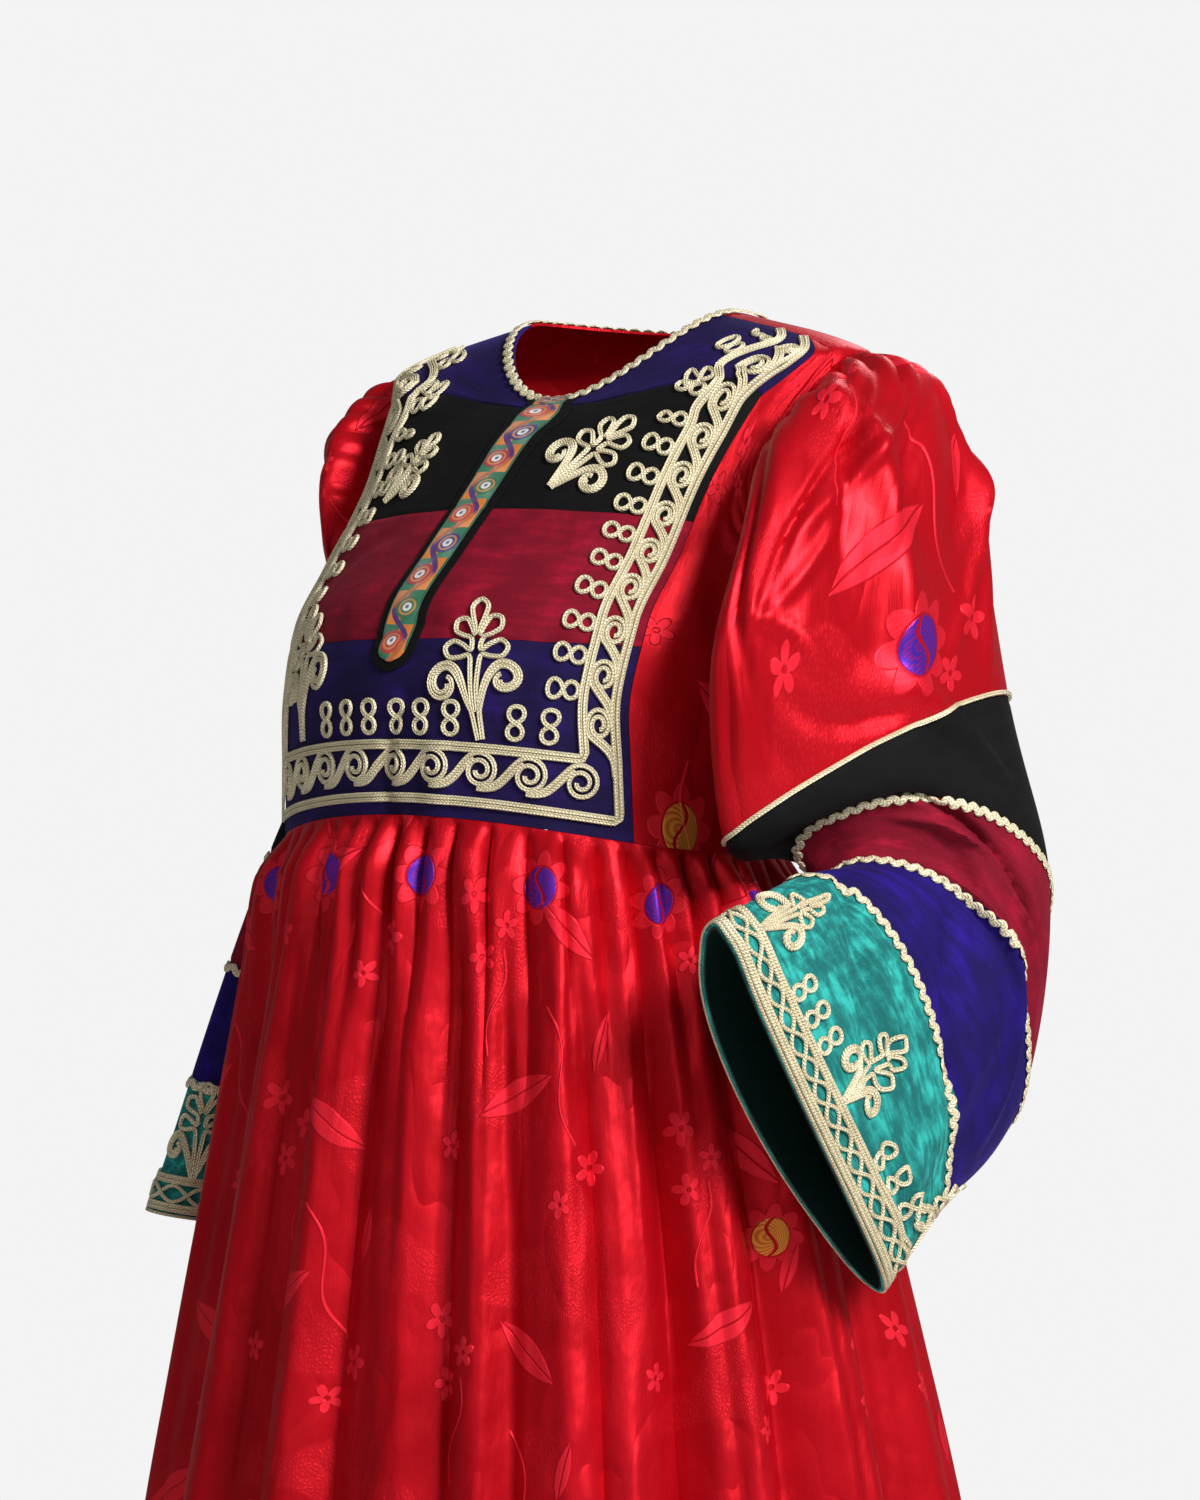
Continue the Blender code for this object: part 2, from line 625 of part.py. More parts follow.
def sleeve_grid(side):
    """Outer points of a whole sleeve and the rows at its seams."""
    along = [0.0]
    seams = [0]
    start = 0.0
    for _, end, rows in SLEEVE_PIECES:
        along += [start + (end - start) * (i + 1) / rows for i in range(rows)]
        seams.append(len(along) - 1)
        start = end
    turn = ring_columns()
    turns, lengths = np.meshgrid(turn, np.array(along))
    grid = sleeve_surface(side, turns, lengths)
    normal = normals_of(grid, True)
    sign = 1.0 if float(((grid - grid.mean(axis=1, keepdims=True)) * normal).sum()) > 0 else -1.0
    push = np.zeros(grid.shape[:2])
    for turn_a, turn_b, low, high, width, height in (LEFT_DRAPES if side > 0 else RIGHT_DRAPES):
        share = np.clip((lengths - low) / (high - low), 0.0, 1.0)
        line = turn_a + (turn_b - turn_a) * share
        rise = np.sin(np.pi * share) ** DRAPE_POWER
        push += height * rise * bump(angle_gap(turns, line) / width)
    head = np.clip(lengths / HEAD_START, 0.0, 1.0)
    head = head * np.clip(1.0 - (lengths - HEAD_START) / HEAD_FADE, 0.0, 1.0)
    top = bump(angle_gap(turns, HEAD_TURN) / HEAD_REACH)
    push += HEAD_GATHER_HEIGHT * head * top * np.cos(np.radians(turns) * HEAD_GATHERS)
    grid = grid + sign * push[..., None] * normal
    corner_turns, corners = armhole_ring(side)
    wide_turns = np.append(corner_turns, corner_turns[0] + 360.0)
    wide = np.vstack([corners, corners[:1]])
    place = (turn - corner_turns[0]) % 360.0 + corner_turns[0]
    ring = np.stack([np.interp(place, wide_turns, wide[:, i]) for i in range(3)], axis=-1)
    inward = ring.mean(axis=0) - ring
    inward /= np.linalg.norm(inward, axis=-1, keepdims=True)
    grid[0] = ring + inward * SEAM_GAP
    inner = grid - sign * WALL * normals_of(grid, True)
    inner[0] = ring + inward * (SEAM_GAP + WALL)
    return grid, inner, seams


def along_column(grid, row, distance):
    """Points at a distance from a row, along every column, towards the next row."""
    step = 1 if distance > 0 else -1
    edge = grid[row]
    way = grid[row + step] - edge
    length = np.linalg.norm(way, axis=-1, keepdims=True)
    return edge + way / length * abs(distance)


def ring_trim(name, grid, row, edges, height, material) -> None:
    """A closed strip round a sleeve, lifted off the facets between two of its rows."""
    near, far = edges
    step = 1 if far > 0 else -1
    normal = normals_of(np.stack([grid[row], grid[row + step]]), True)
    axis = grid[row].mean(axis=0)
    sign = 1.0 if float(((grid[row] - axis) * normal[0]).sum()) > 0 else -1.0
    normal = sign * normal[0]
    way = grid[row + step] - grid[row]
    turned = way - np.roll(way, -1, axis=0)
    share = abs(far) / np.linalg.norm(way, axis=-1)
    rise = (turned * normal).sum(axis=-1)
    extra = np.maximum(0.0, -rise if step > 0 else rise) * share * (1.0 - share)
    extra = extra if step > 0 else np.roll(extra, 1)
    lift = SLEEVE_LIFT + extra[:, None]
    low = np.stack([along_column(grid, row, near) + normal * SLEEVE_LIFT,
                    along_column(grid, row, far) + normal * lift])
    low = low if step > 0 else low[::-1]
    solid_from_grids(name, low + normal * height, low, True, material)


def grid_sample(grid, row, column):
    """Points of a grid at fractional rows and columns."""
    row = np.clip(np.asarray(row, dtype=float), 0.0, grid.shape[0] - 1.0)
    column = np.clip(np.asarray(column, dtype=float), 0.0, grid.shape[1] - 1.0)
    i = np.clip(np.floor(row).astype(int), 0, grid.shape[0] - 2)
    j = np.clip(np.floor(column).astype(int), 0, grid.shape[1] - 2)
    u = (row - i)[..., None]
    v = (column - j)[..., None]
    low = grid[i, j] * (1 - v) + grid[i, j + 1] * v
    high = grid[i + 1, j] * (1 - v) + grid[i + 1, j + 1] * v
    return low * (1 - u) + high * u


def bib_column(share):
    """Fractional column of the bib's grid at a share of its half width."""
    shares = bib_shares()
    return np.interp(share, shares, np.arange(len(shares)))


def overlay(name, grid, rows, columns, height, material, under) -> None:
    """A thin piece on a panel or on a thinner piece, made from the panel's points moved out."""
    base = grid_sample(grid, rows, columns)
    normal = normals_of(grid)
    sign = -1.0 if normal[..., 1].mean() > 0 else 1.0
    away = grid_sample(normal, rows, columns) * sign
    away /= np.linalg.norm(away, axis=-1, keepdims=True)
    low = LIFT + under
    solid_from_grids(name, base + away * (low + height), base + away * low, False, material)


def rail(name, grid, shares, lows, height, material) -> None:
    """A raised strip down one side of the bib, across its foot and up the other side."""
    top = grid.shape[0] - 1
    rows = []
    columns = []
    for share, low in zip(shares, lows):
        left = bib_column(-share)
        right = bib_column(share)
        upright = [top - RAIL_TOP] + [r for r in range(top - 1, 0, -1) if r > max(lows) + ROW_ROOM]
        across = [c for c in range(grid.shape[1]) if c > bib_column(-min(shares)) + COLUMN_ROOM]
        across = [c for c in across if c < bib_column(min(shares)) - COLUMN_ROOM]
        rows.append(upright + [low] * (len(across) + 2) + upright[::-1])
        columns.append([left] * (len(upright) + 1) + across + [right] * (len(upright) + 1))
    rows = np.array(rows)
    lift = np.where(rows > top - YOKE_ROWS - 0.5, YOKE_RAIL_LIFT, RAIL_LIFT)[..., None] - LIFT
    overlay(name, grid, rows, np.array(columns), height, material, lift)


def skirt_grid():
    """Outer and inner points of the whole skirt, rows from the waist down."""
    count = GATHERS * STEPS_PER_GATHER
    angle = -90.0 + np.arange(count + 1) * 360.0 / count
    drop = np.array([row[0] for row in SKIRT_ROWS])
    angles, drops = np.meshgrid(angle, drop)
    values = [np.array([row[i] for row in SKIRT_ROWS])[:, None] for i in range(1, 6)]
    centre_x, centre_y, half_width, half_depth, share = values
    turn = np.radians(angles)
    waist = bodice_point(angles, np.zeros_like(angles))
    blend = np.clip(drops / WAIST_BLEND, 0.0, 1.0)
    x = centre_x + half_width * np.sin(turn)
    y = centre_y - half_depth * np.cos(turn)
    x = waist[..., 0] + (x - waist[..., 0]) * blend
    y = waist[..., 1] + (y - waist[..., 1]) * blend
    z_top = waist[..., 2] - SEAM_GAP
    z = z_top + (HEM_Z - z_top) * drops
    wave = np.cos(turn * GATHERS + 0.9 * np.sin(3 * turn + 0.6) + 0.5 * np.sin(7 * turn))
    push = GATHER_HEIGHT * share * wave * (1.0 + 0.3 * np.sin(5 * turn + 1.0))
    for at_waist, at_hem, width, height, waist_share in SKIRT_FOLDS:
        line = at_waist + (at_hem - at_waist) * drops
        grow = waist_share + (1.0 - waist_share) * drops**FOLD_POWER
        grow = grow * np.clip(drops / FOLD_START, 0.0, 1.0)
        push += height * grow * bump(angle_gap(angles, line) / width)
    away = np.stack([np.sin(turn), -np.cos(turn)], axis=-1)
    outer = np.stack([x + push * away[..., 0], y + push * away[..., 1], z], axis=-1)
    inner = outer.copy()
    flat = outer[..., :2]
    across = np.gradient(flat, axis=1)
    face = np.stack([across[..., 1], -across[..., 0]], axis=-1)
    face /= np.linalg.norm(face, axis=-1, keepdims=True)
    slant = np.clip(np.abs((face * away).sum(axis=-1)), LEAST_SLANT, 1.0)
    inner[..., 0] -= WALL / slant * away[..., 0]
    inner[..., 1] -= WALL / slant * away[..., 1]
    return outer, inner


def build_bodice(materials):
    """Bib, side fronts and back."""
    bib, ends, angle, level = bib_grid()
    inner = bodice_inside(bib, angle, level)
    names = ("bib_navy", "bib_crimson", "bib_black", "bib_yoke")
    cloths = ("velvet_navy", "velvet_crimson", "velvet_black", "velvet_navy")
    for i, (name, cloth) in enumerate(zip(names, cloths)):
        edges = (i > 0, True, True, True)
        panel(name, bib, inner, (ends[i], ends[i + 1]), edges, materials[cloth])
    for side, name in ((1, "side_front_left"), (-1, "side_front_right")):
        grid, side_angle, side_level = side_front_grid(angle, level, side)
        rows = (0, len(grid) - 1)
        inside = bodice_inside(grid, side_angle, side_level)
        panel(name, grid, inside, rows, (False, True, True, True), materials["satin_red"])
    build_back(level, materials["satin_red"])
    return bib


def build_skirt(materials) -> None:
    """The four panels of the skirt, from the right side seam round the front."""
    outer, inner = skirt_grid()
    width = GATHERS * STEPS_PER_GATHER // len(SKIRT_PANELS)
    for number, name in enumerate(SKIRT_PANELS):
        start = number * width
        cut = slice(start, start + width + 1)
        edges = (False, False, True, True)
        out = trim_edges(outer[:, cut], *edges)
        ins = trim_edges(inner[:, cut], *edges)
        solid_from_grids(name, out, ins, False, materials["satin_red"])


def build_sleeve(side, materials) -> None:
    """One sleeve with its bands, cuff, lining, piping, rickrack and rail."""
    word = "left" if side > 0 else "right"
    gold = materials["cord_gold"]
    outer, inner, seams = sleeve_grid(side)
    cloths = ("satin_red", "velvet_black", "velvet_crimson", "velvet_blue", "velvet_teal")
    for i, ((name, _, _), cloth) in enumerate(zip(SLEEVE_PIECES, cloths)):
        low, high = seams[i], seams[i + 1]
        edges = (i > 0, i < len(cloths) - 1, False, False)
        out = trim_edges(outer[low:high + 1], *edges)
        ins = trim_edges(inner[low:high + 1], *edges)
        solid_from_grids(f"{name}_{word}", out, ins, True, materials[cloth])
    above = (-TRIM_INSET, -PIPING_WIDTH)
    ring_trim(f"piping_{word}", outer, seams[1], above, PIPING_HEIGHT, gold)
    below = (TRIM_INSET, RICKRACK_WIDTH)
    for number, seam in enumerate(seams[2:5], start=1):
        ring_trim(f"rickrack_{number}_{word}", outer, seam, below, RICKRACK_HEIGHT, gold)
    inset = (-CUFF_RAIL_INSET, -CUFF_RAIL_INSET - RAIL_WIDTH)
    ring_trim(f"cuff_rail_edge_{word}", outer, len(outer) - 1, inset, RAIL_HEIGHT, gold)
    wall = (outer - inner)[seams[4]:] / WALL
    lining_out = inner[seams[4]:] - wall * LINING_GAP
    lining_in = lining_out - wall * LINING
    solid_from_grids(f"cuff_lining_{word}", lining_out, lining_in, True, materials["lining_dark"])


def neck_trim(bib, material) -> None:
    """A closed strip on the cloth round the neckline."""
    columns = [j for j, share in enumerate(bib_shares()) if abs(share) <= NECK_SHARE + NEAR_ZERO]
    near = []
    far = []
    for j in columns:
        line = bib[::-1, j]
        length = np.append(0.0, np.cumsum(np.linalg.norm(np.diff(line, axis=0), axis=1)))
        near.append([np.interp(NECK_TRIM_EDGES[0], length, line[:, i]) for i in range(3)])
        far.append([np.interp(NECK_TRIM_EDGES[1], length, line[:, i]) for i in range(3)])
    for angle in np.linspace(FRONT_SEAM_ANGLE, 360.0 - FRONT_SEAM_ANGLE, BACK_NECK_COLUMNS + 1)[1:-1]:
        level = np.linspace(NECK_LEVEL, ARMHOLE_TOP, NECK_LINE_STEPS)
        line = bodice_point(np.full(NECK_LINE_STEPS, angle), level)
        length = np.append(0.0, np.cumsum(np.linalg.norm(np.diff(line, axis=0), axis=1)))
        near.append([np.interp(NECK_TRIM_EDGES[0], length, line[:, i]) for i in range(3)])
        far.append([np.interp(NECK_TRIM_EDGES[1], length, line[:, i]) for i in range(3)])
    rows = np.stack([np.array(near), np.array(far)])
    normal = normals_of(rows, True)
    normal = normal * np.sign(normal[..., 2:].mean())
    low = rows + normal * NECK_LIFT
    solid_from_grids("neck_rickrack", low + normal * RICKRACK_HEIGHT, low, True, material)


def build_trims(bib, materials) -> None:
    """Placket, rails of the bib's border and the neck's rickrack."""
    gold = materials["cord_gold"]
    neck_trim(bib, gold)
    for name, shares, lows in BIB_RAILS:
        rail(name, bib, shares, lows, RAIL_HEIGHT, gold)
    top = bib.shape[0] - 1
    for name, half, end, height, cloth, base in PLACKET:
        high = top - YOKE_ROWS
        line = [high - PLACKET_START] + [r for r in range(high - 1, 0, -1) if r > end + ROW_ROOM]
        line += [end + PLACKET_END, end]
        share = np.array([half] * (len(line) - 2) + [half * k for k in PLACKET_END_SHARES])
        columns = np.stack([bib_column(-share), bib_column(share * 0), bib_column(share)], axis=1)
        grid_rows = np.repeat(np.array(line)[:, None], 3, axis=1)
        overlay(name, bib, grid_rows, columns, height, materials[cloth], base)


def main() -> None:
    """Build every piece of the dress."""
    clear_file()
    materials = make_materials()
    bib = build_bodice(materials)
    build_skirt(materials)
    build_sleeve(1, materials)
    build_sleeve(-1, materials)
    build_trims(bib, materials)


main()
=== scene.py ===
"""Looks of the afghan dress: velvet bib and sleeve bands, red satin brocade, braid and ribbon.

Each cloth piece is a thin closed shell on the form of its solid, worked out again here as a
function of two parameters and drawn much finer, with its gathers, folds and creases. The
soutache, rickrack, piping and placket ribbon are laid on those functions along named tracks.
Metres, Z up, front at -Y, the dress's own left side at +X.
"""

import logging
import math
from dataclasses import dataclass, field
from enum import Enum
from typing import Callable, ClassVar, Optional, Sequence, Union

import bpy
import numpy as np
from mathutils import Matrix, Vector


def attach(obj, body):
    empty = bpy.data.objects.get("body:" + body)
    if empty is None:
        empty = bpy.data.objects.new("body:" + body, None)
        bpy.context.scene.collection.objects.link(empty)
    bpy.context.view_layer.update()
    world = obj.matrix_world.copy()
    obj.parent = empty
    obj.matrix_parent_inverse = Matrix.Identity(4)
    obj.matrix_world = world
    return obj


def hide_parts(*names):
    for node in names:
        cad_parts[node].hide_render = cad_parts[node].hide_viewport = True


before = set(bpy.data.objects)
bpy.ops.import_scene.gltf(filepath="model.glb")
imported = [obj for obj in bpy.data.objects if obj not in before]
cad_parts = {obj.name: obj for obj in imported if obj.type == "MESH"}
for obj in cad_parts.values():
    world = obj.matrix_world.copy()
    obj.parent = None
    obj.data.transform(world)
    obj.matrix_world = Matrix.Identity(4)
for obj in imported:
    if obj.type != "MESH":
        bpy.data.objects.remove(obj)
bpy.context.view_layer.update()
LOG = logging.getLogger("dress")
Array = np.ndarray
Surface = Callable[[Array, Array], Array]
Rows = Sequence[Sequence[float]]

ROOT_BODY = "root"
CLOTH_THICKNESS = 0.0018
LINING_GAP = 0.0005
LINING_THICKNESS = 0.0009
SEAM_GAP = 0.0003
# Height of most cords' flat side above the cloth
CORD_LIFT = 0.0007


class Side(Enum):
    """The dress's own two sides, as signs of X."""

    LEFT = 1
    RIGHT = -1

    @property
    def word(self) -> str:
        """The side's name in node names."""
        return self.name.lower()


class Cloth(Enum):
    """Material slots of the record."""

    SATIN = "satin_red"
    NAVY = "velvet_navy"
    BLACK = "velvet_black"
    CRIMSON = "velvet_crimson"
    BLUE = "velvet_blue"
    TEAL = "velvet_teal"
    LINING = "lining_dark"
    CORD = "cord_gold"
    RIBBON = "ribbon"


class Hold(Enum):
    """How a sheet of cloth is held."""

    DRAPED = "draped"
    HUNG = "hung"
    GATHERED = "gathered"


# Bodice sections from the waist seam to the neckline: level, centre x, centre y, half width,
# depth in front, depth behind, height in front, at the side, behind
BODICE_SECTIONS: Rows = (
    (0.00, -0.019, -0.085, 0.172, 0.135, 0.140, -0.321, -0.345, -0.330),
    (0.15, -0.018, -0.080, 0.176, 0.140, 0.142, -0.278, -0.300, -0.285),
    (0.30, -0.017, -0.071, 0.182, 0.147, 0.145, -0.235, -0.255, -0.238),
    (0.45, -0.016, -0.057, 0.188, 0.146, 0.143, -0.193, -0.208, -0.185),
    (0.58, -0.012, -0.042, 0.187, 0.134, 0.138, -0.157, -0.168, -0.140),
    (0.74, -0.007, -0.023, 0.181, 0.119, 0.128, -0.115, -0.110, -0.088),
    (0.86, -0.003, -0.010, 0.183, 0.105, 0.110, -0.083, -0.053, -0.046),
    (0.90, 0.000, -0.006, 0.183, 0.099, 0.102, -0.074, -0.031, -0.034),
    (0.93, 0.000, -0.004, 0.161, 0.093, 0.096, -0.068, -0.020, -0.025),
    (1.00, 0.000, 0.000, 0.080, 0.080, 0.078, -0.056, 0.000, -0.006),
)

# Edge of the bib: level, angle in degrees from the centre front
BIB_EDGE: Rows = (
    (0.00, 58.0),
    (0.15, 55.5),
    (0.30, 52.5),
    (0.45, 51.5),
    (0.58, 52.0),
    (0.74, 53.5),
    (0.86, 58.5),
    (0.90, 67.0),
    (0.93, 80.0),
)

# Seams across the bib: row, level at the centre, level at the edge
BIB_SEAMS: Rows = (
    (0.0, 0.00, 0.00),
    (3.0, 0.385, 0.40),
    (6.0, 0.690, 0.66),
    (9.0, 0.965, 0.865),
)
BIB_TOP_ROW = 12.0
YOKE_ROWS = 3.0

# Skirt rows: drop from waist to hem, centre x, centre y, half width, half depth, gather share
SKIRT_ROWS: Rows = (
    (0.000, -0.020, -0.0825, 0.174, 0.1375, 0.00),
    (0.012, -0.020, -0.0825, 0.178, 0.1410, 0.85),
    (0.040, -0.020, -0.0820, 0.184, 0.1470, 1.00),
    (0.085, -0.019, -0.0790, 0.191, 0.1550, 0.80),
    (0.150, -0.018, -0.0760, 0.202, 0.1680, 0.50),
    (0.260, -0.017, -0.0700, 0.222, 0.1890, 0.22),
    (0.400, -0.016, -0.0650, 0.246, 0.2140, 0.05),
    (0.580, -0.015, -0.0600, 0.274, 0.2440, 0.00),
    (0.780, -0.014, -0.0560, 0.305, 0.2740, 0.00),
    (1.000, -0.013, -0.0520, 0.338, 0.3060, 0.00),
)

# Hanging folds of the skirt: angle at the waist, angle at the hem, half width in degrees,
# height at the hem, share of the height at the waist
SKIRT_FOLDS: Rows = (
    (-4.0, -2.0, 12.0, 0.034, 0.16),
    (20.0, 24.0, 9.0, 0.030, 0.20),
    (42.0, 45.0, 9.5, 0.036, 0.22),
    (63.0, 68.0, 8.5, 0.027, 0.16),
    (84.0, 92.0, 10.0, 0.034, 0.14),
    (108.0, 114.0, 9.0, 0.030, 0.18),
    (131.0, 136.0, 10.0, 0.033, 0.16),
    (154.0, 158.0, 9.0, 0.028, 0.20),
    (177.0, 181.0, 10.5, 0.034, 0.16),
    (200.0, 204.0, 9.0, 0.029, 0.18),
    (222.0, 227.0, 10.0, 0.033, 0.14),
    (246.0, 250.0, 9.0, 0.028, 0.18),
    (270.0, 273.0, 10.0, 0.034, 0.14),
    (292.0, 294.0, 9.0, 0.030, 0.20),
    (312.0, 314.0, 9.5, 0.036, 0.22),
    (334.0, 335.0, 9.0, 0.031, 0.18),
)

# Ridges and pinched troughs of the skirt's folds: angle at the waist, angle at the hem, half
# width in degrees, height at the hem (troughs below zero), drop where it starts
SKIRT_CREASES: Rows = (
    (1.0, 2.0, 6.0, -0.021, 0.03),
    (10.5, 12.0, 6.0, 0.012, 0.04),
    (19.5, 21.5, 6.5, -0.031, 0.02),
    (29.0, 30.0, 3.0, -0.006, 0.05),
    (34.5, 36.0, 5.5, 0.008, 0.08),
    (43.0, 44.0, 4.8, -0.025, 0.05),
    (50.0, 51.0, 4.4, 0.006, 0.08),
    (56.0, 57.5, 4.6, -0.024, 0.10),
    (64.0, 66.0, 3.0, -0.006, 0.16),
    (74.0, 77.0, 5.0, -0.017, 0.04),
    (84.0, 88.0, 2.6, -0.007, 0.12),
    (97.0, 102.0, 4.4, -0.013, 0.05),
    (112.0, 117.0, 2.8, -0.009, 0.10),
    (121.0, 126.0, 4.0, -0.012, 0.04),
    (135.0, 139.0, 2.6, -0.010, 0.12),
    (143.0, 148.0, 4.2, -0.013, 0.05),
    (159.0, 161.0, 3.0, -0.008, 0.09),
    (167.0, 170.0, 4.4, -0.014, 0.04),
    (181.0, 184.0, 2.8, -0.009, 0.13),
    (190.0, 193.0, 4.2, -0.012, 0.05),
    (204.0, 207.0, 2.6, -0.009, 0.10),
    (212.0, 216.0, 4.0, -0.013, 0.04),
    (227.0, 231.0, 3.0, -0.008, 0.12),
    (235.0, 240.0, 4.4, -0.012, 0.06),
    (258.0, 262.0, 4.2, -0.014, 0.04),
    (274.0, 276.0, 2.8, -0.009, 0.10),
    (282.0, 285.0, 4.0, -0.012, 0.05),
    (295.0, 297.0, 2.6, -0.008, 0.12),
    (302.0, 305.0, 4.2, -0.013, 0.04),
    (316.0, 317.0, 3.0, -0.009, 0.09),
    (323.0, 325.0, 4.2, -0.014, 0.05),
    (339.0, 340.0, 2.8, -0.010, 0.08),
    (347.0, 348.0, 4.4, -0.015, 0.04),
)

# Sleeve rings: length along the sleeve, then the points on its front line (later the top of
# the forearm), its outer, back (later the underside) and inner lines, x y z each
LEFT_RINGS: Rows = (
    (0.06, 0.185, -0.110, -0.110, 0.218, -0.012, -0.038, 0.186, 0.056, -0.096, 0.188, -0.022, -0.172),
    (0.15, 0.208, -0.150, -0.148, 0.246, -0.038, -0.090, 0.214, 0.062, -0.130, 0.189, -0.045, -0.195),
    (0.25, 0.214, -0.182, -0.225, 0.262, -0.060, -0.175, 0.232, 0.060, -0.185, 0.190, -0.065, -0.255),
    (0.36, 0.210, -0.162, -0.333, 0.272, -0.060, -0.266, 0.250, 0.058, -0.255, 0.196, -0.062, -0.315),
    (0.50, 0.222, -0.095, -0.326, 0.290, -0.012, -0.318, 0.262, 0.076, -0.385, 0.204, -0.038, -0.370),
    (0.65, 0.228, -0.078, -0.352, 0.290, 0.000, -0.395, 0.262, 0.043, -0.515, 0.210, -0.030, -0.432),
    (0.81, 0.236, -0.130, -0.358, 0.284, -0.065, -0.430, 0.264, -0.035, -0.568, 0.214, -0.085, -0.462),
    (1.00, 0.240, -0.220, -0.385, 0.268, -0.180, -0.476, 0.258, -0.077, -0.613, 0.216, -0.165, -0.488),
)
RIGHT_RINGS: Rows = (
    (0.06, -0.188, -0.094, -0.106, -0.210, -0.004, -0.038, -0.186, 0.056, -0.094, -0.208, -0.018, -0.172),
    (0.15, -0.205, -0.076, -0.150, -0.231, 0.018, -0.102, -0.206, 0.100, -0.140, -0.209, 0.014, -0.198),
    (0.25, -0.220, -0.034, -0.215, -0.254, 0.060, -0.190, -0.226, 0.152, -0.210, -0.212, 0.060, -0.242),
    (0.36, -0.237, -0.042, -0.280, -0.280, 0.062, -0.268, -0.246, 0.168, -0.280, -0.222, 0.062, -0.298),
    (0.50, -0.256, -0.062, -0.354, -0.305, 0.052, -0.345, -0.268, 0.170, -0.355, -0.236, 0.052, -0.368),
    (0.65, -0.272, -0.084, -0.427, -0.328, 0.040, -0.420, -0.284, 0.165, -0.436, -0.252, 0.040, -0.442),
    (0.81, -0.289, -0.106, -0.503, -0.350, 0.028, -0.502, -0.302, 0.158, -0.520, -0.268, 0.028, -0.520),
    (1.00, -0.308, -0.130, -0.590, -0.372, 0.012, -0.598, -0.324, 0.148, -0.620, -0.284, 0.012, -0.610),
)

# Drape ridges of the sleeves: turn at the start, turn at the end, start, end, half width in
# degrees, height
LEFT_DRAPES: Rows = (
    (60.0, 100.0, 0.02, 0.36, 16.0, 0.006),
    (120.0, 70.0, 0.05, 0.50, 18.0, 0.005),
    (30.0, 20.0, 0.05, 0.34, 14.0, 0.005),
    (60.0, 120.0, 0.50, 0.82, 16.0, 0.006),
    (95.0, 150.0, 0.60, 1.00, 16.0, 0.005),
    (200.0, 215.0, 0.06, 0.90, 20.0, 0.004),
    (290.0, 275.0, 0.10, 0.95, 24.0, 0.002),
)
RIGHT_DRAPES: Rows = (
    (70.0, 40.0, 0.02, 0.60, 15.0, 0.006),
    (100.0, 95.0, 0.04, 1.00, 14.0, 0.006),
    (135.0, 150.0, 0.05, 0.90, 16.0, 0.005),
    (15.0, 10.0, 0.10, 1.00, 14.0, 0.005),
    (200.0, 215.0, 0.06, 0.95, 18.0, 0.005),
    (300.0, 285.0, 0.12, 0.95, 18.0, 0.004),
)


def monotone(rows: Rows, key: Array, column: int) -> Array:
    """Value of a table's column at each key: cubic pieces whose slopes never overshoot.

    Args:
        rows: table whose first column is the key.
        key: keys, clipped to the table.
        column: the column to read.

    Returns:
        The column's values at the keys.
    """
    table = np.array(rows, dtype=float)
    x, y = table[:, 0], table[:, column]
    slope = np.diff(y) / np.diff(x)
    same = slope[:-1] * slope[1:] > 0
    mean = 2.0 * slope[:-1] * slope[1:] / np.where(same, slope[:-1] + slope[1:], 1.0)
    tangent = np.concatenate([slope[:1], np.where(same, mean, 0.0), slope[-1:]])
    return hermite(x, y, tangent, np.clip(key, x[0], x[-1]))


def flowing(rows: Rows, key: Array, column: int) -> Array:
    """Value of a table's column at each key: cubic pieces with rounded turns.

    Args:
        rows: table whose first column is the key.
        key: keys, run on past the ends.
        column: the column to read.

    Returns:
        The column's values at the keys.
    """
    table = np.array(rows, dtype=float)
    x, y = table[:, 0], table[:, column]
    return hermite(x, y, np.gradient(y, x), np.asarray(key, dtype=float))


def hermite(x: Array, y: Array, tangent: Array, key: Array) -> Array:
    """Cubic Hermite curve through points with the given slopes.

    Args:
        x: rising places of the points.
        y: their values.
        tangent: their slopes.
        key: places to read.

    Returns:
        Values at the keys.
    """
    index = np.clip(np.searchsorted(x, key, side="right") - 1, 0, len(x) - 2)
    h = x[index + 1] - x[index]
    t = (key - x[index]) / h
    rise = (2 * t**3 - 3 * t**2 + 1) * y[index] + (3 * t**2 - 2 * t**3) * y[index + 1]
    turn = (t**3 - 2 * t**2 + t) * tangent[index] + (t**3 - t**2) * tangent[index + 1]
    return rise + turn * h


def unit(vectors: Array) -> Array:
    """Vectors at length one."""
    return vectors / np.maximum(np.linalg.norm(vectors, axis=-1, keepdims=True), 1e-12)


def bump(distance: Array) -> Array:
    """A rounded ridge, (1 - d squared) squared, that is 0 at a distance of 1 or more."""
    return np.clip(1.0 - np.asarray(distance) ** 2, 0.0, 1.0) ** 2


def angle_gap(a: Array, b: Array) -> Array:
    """Least angle between two directions in degrees."""
    return np.abs((np.asarray(a) - b + 180.0) % 360.0 - 180.0)


